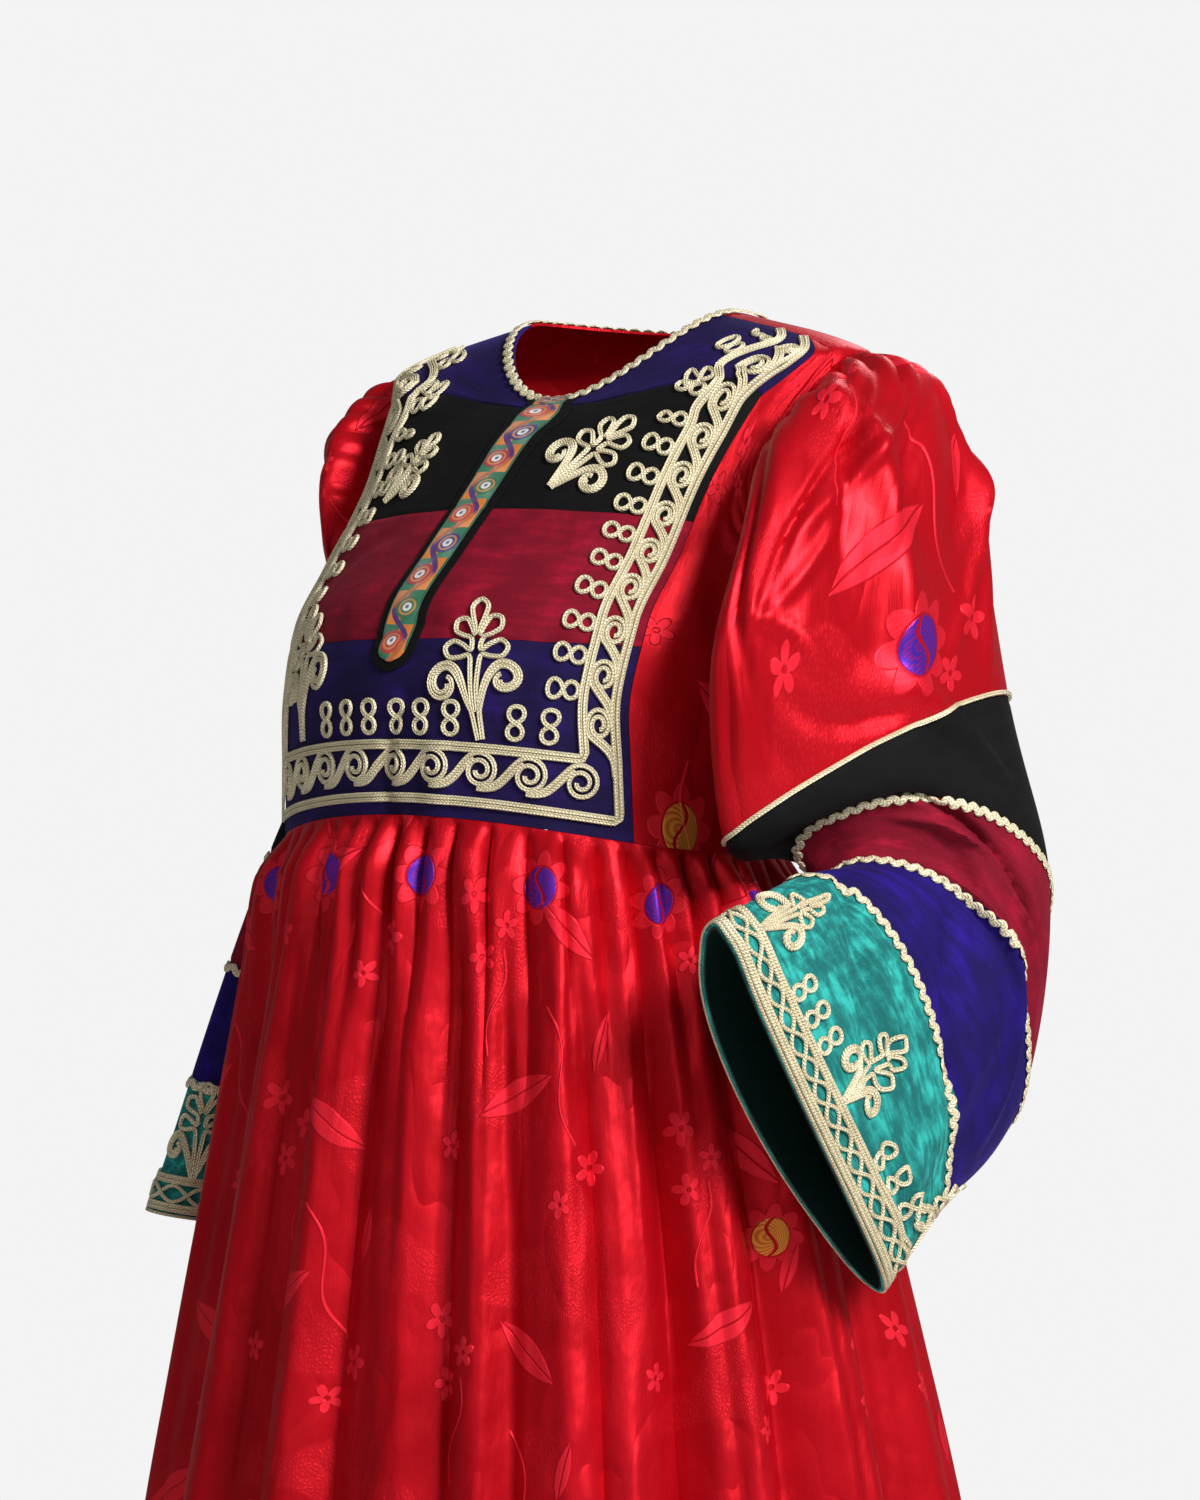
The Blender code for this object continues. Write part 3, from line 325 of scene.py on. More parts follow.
def ripples(u: Array, v: Array, seed: int, wave: float, stretch: float = 1.0, count: int = 9) -> Array:
    """Soft uneven relief from -1 to 1: a sum of slanted sine waves with seeded phases.

    Args:
        u: first coordinate in metres.
        v: second coordinate in metres.
        seed: seed of the waves' directions and phases.
        wave: typical wavelength in metres across u.
        stretch: how much longer the waves are along v.
        count: number of waves.

    Returns:
        The relief at each place.
    """
    rng = np.random.default_rng(seed)
    total = np.zeros(np.broadcast(u, v).shape)
    for _ in range(count):
        pitch = wave * rng.uniform(0.7, 1.8)
        lean = rng.uniform(-0.6, 0.6)
        total += np.sin(2 * np.pi * (u + lean * v / stretch) / pitch + rng.uniform(0, 2 * np.pi)
                        + 0.8 * np.sin(2 * np.pi * v / (stretch * pitch * 2.1) + rng.uniform(0, 6.28)))
    return total / count * 1.6


def creases(u: Array, v: Array, rows: Rows) -> Array:
    """Height of listed creases: each a ridge or trough about a segment, soft at its ends.

    Args:
        u: first coordinate in metres.
        v: second coordinate in metres.
        rows: u and v of the start, u and v of the end, half width, height of each crease.

    Returns:
        The sum of the creases' heights.
    """
    total = np.zeros(np.broadcast(u, v).shape)
    for u0, v0, u1, v1, width, height in rows:
        du, dv = u1 - u0, v1 - v0
        length = math.hypot(du, dv)
        along = ((u - u0) * du + (v - v0) * dv) / length**2
        across = ((u - u0) * dv - (v - v0) * du) / length
        bow = 0.12 * length * np.sin(np.pi * np.clip(along, 0, 1)) * (1 if height > 0 else -1)
        fade = np.sin(np.pi * np.clip(along, 0.0, 1.0)) ** 0.8
        total += height * fade * bump((across - bow) / width)
    return total


def normals_of(surface: Surface, u: Array, v: Array, du: float, dv: float) -> Array:
    """Unit normals of a surface from central differences, along its u by its v direction.

    Args:
        surface: function of the two parameters.
        u: first parameter.
        v: second parameter.
        du: step in u.
        dv: step in v.

    Returns:
        Unit normals.
    """
    across = surface(u + du, v) - surface(u - du, v)
    along = surface(u, v + dv) - surface(u, v - dv)
    return unit(np.cross(across, along))


@dataclass(frozen=True)
class Cut:
    """The flat cut of a cloth piece and how it is held."""

    width: float
    length: float
    held: Hold
    share: float = 1.0

    def declare(self, item: bpy.types.Object, rests_on: Sequence[str]) -> None:
        """Does nothing with the piece or what holds it."""


@dataclass
class MeshSheet:
    """A closed thin wall between an outer and an inner grid, with cloth coordinates as its UV map."""

    name: str
    outer: Array
    inner: Array
    cloth_u: Array
    cloth_v: Array
    around: bool = False

    def build(self, material: bpy.types.Material) -> bpy.types.Object:
        """Make the object.

        Args:
            material: the piece's material.

        Returns:
            The object, smooth but for its rim, its faces outwards.
        """
        rows, columns = self.outer.shape[:2]
        spans = columns if self.around else columns - 1
        count = rows * columns
        i, j = np.meshgrid(np.arange(rows - 1), np.arange(spans), indexing="ij")
        k = (j + 1) % columns
        a, b = i * columns + j, i * columns + k
        c, d = b + columns, a + columns
        wide = self.cloth_u.shape[1]
        ua, ub = i * wide + j, i * wide + j + 1
        uc, ud = ub + wide, ua + wide
        faces = [np.stack([a, b, c, d], -1).reshape(-1, 4)]
        corners = [np.stack([ua, ub, uc, ud], -1).reshape(-1, 4)]
        faces.append(faces[0][:, ::-1] + count)
        corners.append(corners[0][:, ::-1])
        step = np.arange(spans)
        edges = [(row * columns + (step + 1) % columns, row * columns + step, row * wide + step + 1,
                  row * wide + step, row > 0) for row in (0, rows - 1)]
        if not self.around:
            step = np.arange(rows - 1)
            edges += [(step * columns + column, (step + 1) * columns + column, step * wide + column,
                       (step + 1) * wide + column, column > 0) for column in (0, columns - 1)]
        for p, q, up, uq, turn in edges:
            rim, spot = np.stack([p, q, q + count, p + count], -1), np.stack([up, uq, uq, up], -1)
            faces.append(rim[:, ::-1] if turn else rim)
            corners.append(spot[:, ::-1] if turn else spot)
        quads, spots = np.concatenate(faces), np.concatenate(corners)
        away = (self.outer - self.inner).reshape(-1, 3)
        points = np.concatenate([self.outer.reshape(-1, 3), self.inner.reshape(-1, 3)])
        first = faces[0]
        corner, ahead, beside = (points[first[:, i]] for i in (0, 1, 3))
        facing = np.cross(ahead - corner, beside - corner)
        if float((facing * away[first[:, 0]]).sum()) < 0:
            quads, spots = quads[:, ::-1], spots[:, ::-1]
        flat = np.stack([self.cloth_u, self.cloth_v], -1).reshape(-1, 2)
        return make_object(self.name, points, quads, flat[spots.reshape(-1)], material)


def make_object(name: str, points: Array, quads: Array, flat: Array,
                material: bpy.types.Material) -> bpy.types.Object:
    """An object from points, four-sided faces and a UV place for each face corner.

    Args:
        name: the piece's name.
        points: its points.
        quads: point numbers of its faces.
        flat: UV places, one for each face corner.
        material: its material.

    Returns:
        The linked object.
    """
    mesh = bpy.data.meshes.new(name)
    mesh.vertices.add(len(points))
    mesh.vertices.foreach_set("co", points.astype(np.float32).ravel())
    mesh.loops.add(quads.size)
    mesh.loops.foreach_set("vertex_index", quads.astype(np.int32).ravel())
    mesh.polygons.add(len(quads))
    mesh.polygons.foreach_set("loop_start", np.arange(0, quads.size, 4, dtype=np.int32))
    mesh.update(calc_edges=True)
    layer = mesh.uv_layers.new(name="cloth")
    layer.data.foreach_set("uv", flat.astype(np.float32).ravel())
    mesh.materials.append(material)
    mesh.shade_smooth()
    mesh.set_sharp_from_angle(angle=math.radians(60.0))
    mesh.validate()
    item = bpy.data.objects.new(name, mesh)
    bpy.context.scene.collection.objects.link(item)
    return item


def finish_piece(item: bpy.types.Object, nodes: Sequence[str],
                 cut: Optional[Cut] = None, rests_on: Sequence[str] = ()) -> bpy.types.Object:
    """Set a finished piece on the frame.

    Args:
        item: the piece.
        nodes: the solids that it stands for.
        cut: its flat cut, for cloth.
        rests_on: what holds the cloth.

    Returns:
        The piece.
    """
    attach(item, ROOT_BODY)
    if nodes:
        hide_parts(*nodes)
    if cut is not None:
        cut.declare(item, rests_on)
    LOG.info("%s: %d faces", item.name, len(item.data.polygons))
    return item


@dataclass
class Track:
    """A line on a surface; places are distances along it and to its left, seen from outside."""

    surface: Surface
    line: Array
    outward: float
    steps: tuple[float, float]
    closed: bool = False
    run: Array = field(init=False)
    aside: Array = field(init=False)
    # Most moves to a place beside the line, and the metres that one move may cover
    MOVES: ClassVar[int] = 4
    REACH: ClassVar[float] = 0.007

    def __post_init__(self) -> None:
        """Measure the line and the directions to its left."""
        points = self.surface(self.line[:, 0], self.line[:, 1])
        self.run = np.concatenate([[0.0], np.cumsum(np.linalg.norm(np.diff(points, axis=0), axis=1))])
        _, _, normal = self.slopes(self.line[:, 0], self.line[:, 1])
        self.aside = np.cross(normal * self.outward, unit(np.gradient(points, axis=0)))

    def slopes(self, u: Array, v: Array) -> tuple[Array, Array, Array]:
        """The surface's slopes along its two parameters and its unit normal."""
        du, dv = self.steps
        along_u = (self.surface(u + du, v) - self.surface(u - du, v)) / (2 * du)
        along_v = (self.surface(u, v + dv) - self.surface(u, v - dv)) / (2 * dv)
        return along_u, along_v, unit(np.cross(along_u, along_v))

    def move(self, u: Array, v: Array, way: Array, distance: Array) -> tuple[Array, Array]:
        """Move a short distance over the surface.

        Args:
            u: first parameter of the start.
            v: second parameter of the start.
            way: direction in space, laid onto the surface first.
            distance: how far, in metres.

        Returns:
            The two parameters of the end.
        """
        along_u, along_v, normal = self.slopes(u, v)
        step = unit(way - (way * normal).sum(-1)[..., None] * normal) * distance[..., None]
        uu, vv, uv = (along_u**2).sum(-1), (along_v**2).sum(-1), (along_u * along_v).sum(-1)
        su, sv = (along_u * step).sum(-1), (along_v * step).sum(-1)
        spread = uu * vv - uv**2
        return u + (vv * su - uv * sv) / spread, v + (uu * sv - uv * su) / spread

    @property
    def length(self) -> float:
        """Length of the line in metres."""
        return float(self.run[-1])

    def place(self, along: Array, left: Array, lift: float = 0.0) -> tuple[Array, Array]:
        """Points and outward normals beside the line.

        Args:
            along: distances along the line.
            left: distances to its left.
            lift: height above the surface.

        Returns:
            Points and normals.
        """
        along = np.asarray(along, dtype=float)
        along = along % self.length if self.closed else along
        past = np.clip(along - self.length, 0.0, None) + np.clip(along, None, 0.0)
        slope = (self.line[-1] - self.line[-2]) / (self.run[-1] - self.run[-2])
        u, v = (np.interp(along, self.run, self.line[:, i]) + past * slope[i] for i in range(2))
        way = np.stack([np.interp(along, self.run, self.aside[:, i]) for i in range(3)], -1)
        moves = min(self.MOVES, 1 + int(np.abs(left).max() / self.REACH))
        part = np.broadcast_to(np.asarray(left, dtype=float), along.shape) / moves
        for _ in range(moves):
            u, v = self.move(u, v, way, part)
        normal = normals_of(self.surface, u, v, *self.steps) * self.outward
        return self.surface(u, v) + normal * lift, normal

    def part(self, start: float, end: float, step: float) -> Array:
        """Even distances along the line between two places."""
        return np.linspace(start, end, max(2, int(round(abs(end - start) / step)) + 1))


class Braid:
    """Cords laid flat on cloth, gathered into one mesh: a section carried along each path."""

    # Section of a soutache cord: place across in widths, place up in heights
    SECTION: Rows = (
        (-0.50, 0.00), (-0.48, 0.62), (-0.27, 1.00), (0.00, 0.66),
        (0.27, 1.00), (0.48, 0.62), (0.50, 0.00), (0.00, 0.00),
    )

    def __init__(self, name: str, width: float, height: float) -> None:
        """Start an empty braid of a width and a height."""
        self.name = name
        self.width = width
        self.height = height
        self.points: list[Array] = []
        self.quads: list[Array] = []
        self.flat: list[Array] = []
        self.count = 0

    def lay(self, points: Array, normals: Array, closed: bool = False, scale: float = 1.0) -> None:
        """Add one cord along points, with its flat side against the cloth.

        Args:
            points: the cord's line on the cloth.
            normals: the cloth's outward normals there.
            closed: whether its end meets its start.
            scale: its width as a share of the braid's.
        """
        section = np.array(self.SECTION)
        sides, total = len(section), len(points)
        if closed:
            wide = np.concatenate([points[-1:], points, points[:1]])
            tangent = unit(wide[2:] - wide[:-2])
            gaps = np.linalg.norm(np.diff(np.concatenate([points, points[:1]]), axis=0), axis=1)
        else:
            tangent = unit(np.gradient(points, axis=0))
            gaps = np.linalg.norm(np.diff(points, axis=0), axis=1)
        across = unit(np.cross(tangent, normals))
        ring = (points[:, None] + across[:, None] * (section[:, :1] * self.width * scale)[None]
                + normals[:, None] * (section[:, 1:] * self.height)[None])
        spans = total if closed else total - 1
        i, j = np.meshgrid(np.arange(spans), np.arange(sides), indexing="ij")
        ahead, beside = (i + 1) % total, (j + 1) % sides
        quads = np.stack([i * sides + j, i * sides + beside,
                          ahead * sides + beside, ahead * sides + j], -1)
        run = np.concatenate([[0.0], np.cumsum(gaps)])
        spot_v = np.stack([run[i], run[i], run[i + 1], run[i + 1]], -1)
        spot_u = np.stack([j, j + 1, j + 1, j], -1) / sides
        flat = np.stack([spot_u, spot_v], -1).reshape(-1, 2)
        quads = quads.reshape(-1, 4)
        if not closed:
            cap = np.array([(7, 2, 1, 0), (7, 4, 3, 2), (7, 6, 5, 4)])
            quads = np.concatenate([quads, cap, cap[:, ::-1] + (total - 1) * sides])
            flat = np.concatenate([flat, np.zeros((2 * cap.size, 2))])
        self.points.append(ring.reshape(-1, 3))
        self.quads.append(quads + self.count)
        self.flat.append(flat)
        self.count += total * sides

    def follow(self, track: Track, along: Array, left: Array, lift: float, closed: bool = False,
               scale: float = 1.0) -> None:
        """Add one cord at places beside a track."""
        self.follow_all(track, [np.stack(np.broadcast_arrays(along, left), -1)], lift, closed, scale)

    def follow_all(self, track: Track, lines: Sequence[Array], lift: float, closed: bool = False,
                   scale: float = 1.0) -> None:
        """Add many cords, each given by its distances along a track and to its left."""
        places = np.concatenate(lines)
        points, normals = track.place(places[:, 0], places[:, 1], lift)
        cuts = np.cumsum([len(line) for line in lines])[:-1]
        for cord, facing in zip(np.split(points, cuts), np.split(normals, cuts)):
            self.lay(cord, facing, closed, scale)

    def build(self, material: bpy.types.Material) -> bpy.types.Object:
        """Make the object of all the cords laid."""
        points, quads = np.concatenate(self.points), np.concatenate(self.quads)
        return make_object(self.name, points, quads, np.concatenate(self.flat), material)


@dataclass(frozen=True)
class Bodice:
    """The bodice's surface: half ellipses in front and behind at each level, from waist to neck."""

    armhole_angle: float = 92.0
    armhole_half_angle: float = 26.0
    armhole_low: float = 0.58
    armhole_top: float = 0.90
    seam_angle: float = 80.0
    bib_top_level: float = 0.93

    def point(self, angle: Array, level: Array) -> Array:
        """Points at angles in degrees from the centre front and levels 0 to 1."""
        values = [monotone(BODICE_SECTIONS, level, column) for column in range(1, 9)]
        centre_x, centre_y, half_width, in_front, behind, z_front, z_side, z_back = values
        turn = np.radians(angle)
        forward = np.cos(turn)
        depth = np.where(forward > 0, in_front, behind)
        z_end = np.where(forward > 0, z_front, z_back)
        x = centre_x + half_width * np.sin(turn)
        y = centre_y - depth * forward
        return np.stack([x, y, z_side + (z_end - z_side) * forward**2], axis=-1)

    def normal(self, angle: Array, level: Array) -> Array:
        """Outward unit normals."""
        return normals_of(self.point, np.asarray(angle, float), np.clip(level, 0.012, 0.988), 1.0, 0.012)

    def armhole(self, turn: Array) -> tuple[Array, Array]:
        """Angle and level of the armhole line at turns in degrees, 0 at its front, 90 on top."""
        angle = self.armhole_angle - self.armhole_half_angle * np.cos(np.radians(turn))
        middle = (self.armhole_low + self.armhole_top) / 2
        return angle, middle + (self.armhole_top - self.armhole_low) / 2 * np.sin(np.radians(turn))

    @property
    def shoulder_turn(self) -> float:
        """Turn on the armhole where the shoulder seam ends."""
        return math.degrees(math.acos((self.armhole_angle - self.seam_angle) / self.armhole_half_angle))

    def side_line(self, share: Array, behind: bool) -> tuple[Array, Array]:
        """Angle and level up the side seam and round the armhole to the shoulder seam, share 0 to 1."""
        seam_share = 5.0 / 12.0
        on_seam = np.clip(share / seam_share, 0.0, 1.0) * self.armhole_low
        end = self.shoulder_turn if not behind else self.shoulder_turn - 360.0
        turn = -90.0 + (end + 90.0) * np.clip((share - seam_share) / (1.0 - seam_share), 0.0, 1.0)
        angle, level = self.armhole(turn)
        below = share < seam_share
        return np.where(below, self.armhole_angle, angle), np.where(below, on_seam, level)


@dataclass(frozen=True)
class Bib:
    """The bib's surface on the bodice, at shares of its half width and rows up from the waist."""

    bodice: Bodice = Bodice()
    neck_share: float = 0.62
    share_metres: float = 0.155
    row_metres: float = 0.0365
    folds: Rows = (
        (0.006, -0.012, 0.014, 0.080, 0.009, -0.0040),
        (0.024, -0.012, 0.030, 0.060, 0.013, 0.0030),
        (-0.028, 0.100, 0.050, 0.118, 0.012, -0.0018),
        (0.060, 0.170, 0.110, 0.215, 0.014, 0.0016),
        (-0.110, 0.160, -0.040, 0.205, 0.013, -0.0016),
        (0.085, 0.060, 0.118, 0.140, 0.011, -0.0014),
    )

    def spot(self, share: Array, row: Array) -> tuple[Array, Array]:
        """Angle and level on the bodice of a place on the bib."""
        rows, centre, edge = np.array(BIB_SEAMS).T
        low_row = np.minimum(row, rows[-1])
        middle = np.interp(low_row, rows, centre)
        level = middle + (np.interp(low_row, rows, edge) - middle) * np.abs(share) ** 1.5
        angle = monotone(BIB_EDGE, level, 1) * share
        near_neck = np.minimum(np.abs(share) / self.neck_share, 1.0)
        past_neck = np.clip((np.abs(share) - self.neck_share) / (1 - self.neck_share), 0.0, 1.0)
        top_angle = np.sign(share) * self.bodice.seam_angle * near_neck
        top_level = 1.0 + (self.bodice.bib_top_level - 1.0) * past_neck
        t = np.clip((row - rows[-1]) / YOKE_ROWS, 0.0, 1.0)
        return angle + (top_angle - angle) * t, level + (top_level - level) * t

    def point(self, share: Array, row: Array) -> Array:
        """Points of the bib: the bodice moved out by soft folds and a dip along each seam."""
        share, row = np.broadcast_arrays(np.asarray(share, float), np.asarray(row, float))
        angle, level = self.spot(share, row)
        u, v = share * self.share_metres, row * self.row_metres
        fade = (np.clip((BIB_TOP_ROW - row) / 2.0, 0.0, 1.0)
                * np.clip((1.0 - np.abs(share)) / 0.08, 0.0, 1.0))
        height = creases(u, v, self.folds) + 0.0005 * ripples(u, v, 5, 0.035, 2.0)
        seams = sum(bump((row - seam) * self.row_metres / 0.003) for seam, _, _ in BIB_SEAMS[1:])
        height = height * fade - 0.0006 * seams
        return self.bodice.point(angle, level) + height[..., None] * self.bodice.normal(angle, level)


@dataclass(frozen=True)
class Skirt:
    """The skirt's surface, gathered to the waist seam and hung in folds."""

    bodice: Bodice = Bodice()
    hem_z: float = -1.27
    gathers: int = 48
    gather_height: float = 0.0060
    cloth_width: float = 2.9
    drop_length: float = 0.945

    def point(self, angle: Array, drop: Array) -> Array:
        """Points at angles in degrees and drops 0 to 1: an ellipse that widens, plus radial folds."""
        angle, drop = np.broadcast_arrays(np.asarray(angle, float), np.asarray(drop, float))
        centre_x, centre_y, half_width, half_depth, share = (
            monotone(SKIRT_ROWS, drop, column) for column in range(1, 6))
        turn = np.radians(angle)
        waist = self.bodice.point(angle, np.zeros_like(angle))
        blend = np.clip(drop / 0.03, 0.0, 1.0)
        x = centre_x + half_width * np.sin(turn)
        y = centre_y - half_depth * np.cos(turn)
        x = waist[..., 0] + (x - waist[..., 0]) * blend
        y = waist[..., 1] + (y - waist[..., 1]) * blend
        z = waist[..., 2] - SEAM_GAP
        z = z + (self.hem_z - z) * drop
        push = self.gather_relief(turn, drop, share) + self.fold_relief(angle, drop)
        return np.stack([x + push * np.sin(turn), y - push * np.cos(turn), z], axis=-1)

    def gather_relief(self, turn: Array, drop: Array, share: Array) -> Array:
        """Gathers at the waist: round ridges, sharp valleys, uneven, that die out down the cloth."""
        phase = turn * self.gathers + 0.9 * np.sin(3 * turn + 0.6) + 0.5 * np.sin(7 * turn)
        lean = phase + 0.55 * np.sin(phase) * np.cos(5 * turn + 0.4)
        uneven = 1.0 + 0.3 * np.sin(5 * turn + 1.0)
        reach = np.clip(1.0 + 0.5 * np.sin(11 * turn + 2.0) + 0.4 * np.sin(17 * turn), 0.2, 1.6)
        late = np.exp(-(drop / 0.16) ** 2 / reach)
        steep = 1.75 * np.abs(np.cos(lean / 2)) ** 0.7 - 1.2
        return self.gather_height * share * steep * uneven * (0.55 + 0.45 * late)

    def fold_relief(self, angle: Array, drop: Array) -> Array:
        """Hanging folds from the table, with smaller ones between them that follow the cloth down."""
        push = np.zeros(angle.shape)
        for at_waist, at_hem, width, height, waist_share in SKIRT_FOLDS:
            line = at_waist + (at_hem - at_waist) * drop + 1.1 * np.sin(5.0 * drop + at_waist)
            grow = np.clip(drop / 0.02, 0.0, 1.0) * (waist_share + (1.0 - waist_share) * drop**0.75)
            push = push + height * grow * bump(angle_gap(angle, line) / width)
        for at_waist, at_hem, width, height, start in SKIRT_CREASES:
            line = at_waist + (at_hem - at_waist) * drop + 0.7 * np.sin(6.0 * drop + at_hem)
            grow = np.clip((drop - start) / 0.10, 0.0, 1.0) * (0.40 + 0.60 * drop**0.6)
            gap = angle_gap(angle, line) / width
            shape = bump(gap) if height > 0 else np.clip(1.0 - gap, 0.0, 1.0) ** 1.4
            push = push + height * grow * shape
        u, v = angle / 360.0 * self.cloth_width, drop * self.drop_length
        grow = np.clip(drop / 0.05, 0.0, 1.0)
        small = 0.0026 * ripples(u, v, 21, 0.085, 9.0) * (0.5 + 0.8 * drop)
        fine = 0.0006 * ripples(u, v, 22, 0.03, 4.0)
        return push + (small + fine) * grow


@dataclass(frozen=True)
class SleevePiece:
    """One cloth tube of a sleeve between two seams."""

    name: str
    start: float
    end: float
    rows: int
    cloth: Cloth


SLEEVE_PIECES = (
    SleevePiece("sleeve", 0.0, 0.36, 72, Cloth.SATIN),
    SleevePiece("band_black", 0.36, 0.50, 26, Cloth.BLACK),
    SleevePiece("band_crimson", 0.50, 0.65, 26, Cloth.CRIMSON),
    SleevePiece("band_blue", 0.65, 0.81, 28, Cloth.BLUE),
    SleevePiece("cuff", 0.81, 1.0, 32, Cloth.TEAL),
)


@dataclass(frozen=True)
class SleeveForm:
    """A sleeve's surface: rounded rings through four lines, with drapes, creases and head gathers."""

    side: Side
    rings: Rows
    drapes: Rows
    folds: Rows
    bodice: Bodice = Bodice()
    girth: float = 0.52
    length: float = 0.60
    start: float = 0.06
    head_gathers: int = 26
    head_height: float = 0.0052
    fold_share: float = 1.6

    def ring_rows(self) -> Rows:
        """The ring table with the armhole's four points as its first row."""
        first = [0.0]
        for turn in (0.0, 90.0, 180.0, 270.0):
            angle, level = self.bodice.armhole(np.array([turn]))
            first += list(self.bodice.point(self.side.value * angle, level)[0])
        return (tuple(first),) + tuple(self.rings)

    def base(self, turn: Array, along: Array) -> Array:
        """Ring points: middle + cosine, sine and squareness of the four lines."""
        rows = self.ring_rows()
        lines = [np.stack([flowing(rows, along, 1 + 3 * p + c) for c in range(3)], -1) for p in range(4)]
        front, outward, back, inward = lines
        c, s = np.cos(np.radians(turn))[..., None], np.sin(np.radians(turn))[..., None]
        middle = (front + outward + back + inward) / 4
        square = ((front + back) - (outward + inward)) / 4
        return middle + (front - back) / 2 * c + (outward - inward) / 2 * s + square * (c**2 - s**2)

    def edge(self, turn: Array) -> Array:
        """The armhole line on the bodice."""
        angle, level = self.bodice.armhole(turn)
        return self.bodice.point(self.side.value * angle, level)

    def point(self, turn: Array, along: Array) -> Array:
        """Points of the sleeve at turns in degrees and lengths 0 to 1."""
        turn, along = np.broadcast_arrays(np.asarray(turn, float), np.asarray(along, float))
        base = self.base(turn, along)
        normal = normals_of(self.base, turn, along, 1.0, 0.004)
        middle = (self.base(turn, along) + self.base(turn + 180.0, along)) / 2
        normal = normal * np.sign(((base - middle) * normal).sum(-1).mean())
        out = base + self.relief(turn, along)[..., None] * normal
        blend = np.clip(1.0 - along / self.start, 0.0, 1.0)[..., None] ** 2
        return out + (self.edge(turn) - self.base(turn, np.zeros_like(along))) * blend

    def relief(self, turn: Array, along: Array) -> Array:
        """Height of drapes, creases, head gathers and seam dips."""
        push = np.zeros(turn.shape)
        for turn_a, turn_b, low, high, width, height in self.drapes:
            share = np.clip((along - low) / (high - low), 0.0, 1.0)
            line = turn_a + (turn_b - turn_a) * share
            push = push + height * np.sin(np.pi * share) ** 0.7 * bump(angle_gap(turn, line) / width)
        u, v = self.cloth(turn, along)
        grow = np.clip(along / 0.08, 0.0, 1.0)
        push = push + self.fold_share * creases(u, v, self.folds) * grow
        round_u, round_v = np.sin(np.radians(turn)) * 0.1, v + 0.1 * np.cos(np.radians(turn))
        push = push + 0.0011 * ripples(round_u, round_v, 31, 0.05, 3.0) * grow
        reach = 0.15 + 0.05 * np.sin(5 * np.radians(turn) + 1.0)
        head = np.clip(along / 0.02, 0.0, 1.0) * np.clip(1.0 - (along - 0.02) / reach, 0.0, 1.0) ** 1.3
        top = bump(angle_gap(turn, 90.0) / 110.0)
        phase = np.radians(turn) * self.head_gathers + 1.2 * np.sin(3 * np.radians(turn))
        push = push + self.head_height * head * top * (1.6 * np.abs(np.cos(phase / 2)) ** 0.7 - 1.2)
        seams = sum(bump((along - piece.end) * self.length / 0.004) for piece in SLEEVE_PIECES[:-1])
        return push - 0.0009 * seams

    def cloth(self, turn: Array, along: Array) -> tuple[Array, Array]:
        """Cloth coordinates in metres, round the sleeve and along it."""
        return turn / 360.0 * self.girth, along * self.length


LEFT_FOLDS: Rows = (
    (0.05, 0.02, 0.13, 0.20, 0.012, 0.0050),
    (0.12, 0.01, 0.10, 0.16, 0.009, -0.0040),
    (0.16, 0.02, 0.19, 0.21, 0.013, 0.0045),
    (0.02, 0.05, 0.06, 0.21, 0.010, -0.0035),
    (0.21, 0.03, 0.17, 0.15, 0.010, 0.0035),
    (0.10, 0.18, 0.17, 0.27, 0.013, 0.0050),
    (0.07, 0.29, 0.20, 0.35, 0.012, -0.0065),
    (0.05, 0.33, 0.19, 0.38, 0.010, 0.0050),
    (0.06, 0.38, 0.22, 0.46, 0.012, 0.0055),
    (0.09, 0.41, 0.20, 0.50, 0.008, -0.0040),
    (0.03, 0.47, 0.16, 0.53, 0.009, -0.0040),
    (0.08, 0.50, 0.22, 0.56, 0.009, -0.0030),
    (0.12, 0.52, 0.25, 0.58, 0.008, 0.0028),
    (0.15, 0.03, 0.06, 0.12, 0.007, 0.0030),
    (0.13, 0.06, 0.03, 0.17, 0.006, -0.0030),
    (0.17, 0.05, 0.12, 0.17, 0.007, -0.0026),
    (0.20, 0.07, 0.15, 0.20, 0.008, 0.0026),
    (0.02, 0.14, 0.10, 0.20, 0.006, 0.0026),
    (0.05, 0.17, 0.14, 0.205, 0.006, -0.0026),
    (0.10, 0.10, 0.04, 0.15, 0.006, 0.0022),
    (0.30, 0.06, 0.33, 0.25, 0.014, 0.0040),
    (0.40, 0.10, 0.37, 0.30, 0.013, -0.0035),
    (0.29, 0.34, 0.36, 0.52, 0.013, 0.0030),
)
RIGHT_FOLDS: Rows = (
    (0.04, 0.03, 0.07, 0.24, 0.012, 0.0050),
    (0.10, 0.02, 0.12, 0.20, 0.010, -0.0040),
    (0.16, 0.04, 0.14, 0.26, 0.012, 0.0050),
    (0.20, 0.03, 0.24, 0.18, 0.011, 0.0035),
    (0.06, 0.26, 0.10, 0.42, 0.012, 0.0035),
    (0.13, 0.30, 0.16, 0.50, 0.011, -0.0035),
    (0.20, 0.34, 0.19, 0.56, 0.012, 0.0040),
    (0.30, 0.08, 0.32, 0.30, 0.013, 0.0035),
    (0.38, 0.22, 0.35, 0.48, 0.013, -0.0030),
    (0.44, 0.06, 0.47, 0.26, 0.012, 0.0030),
)


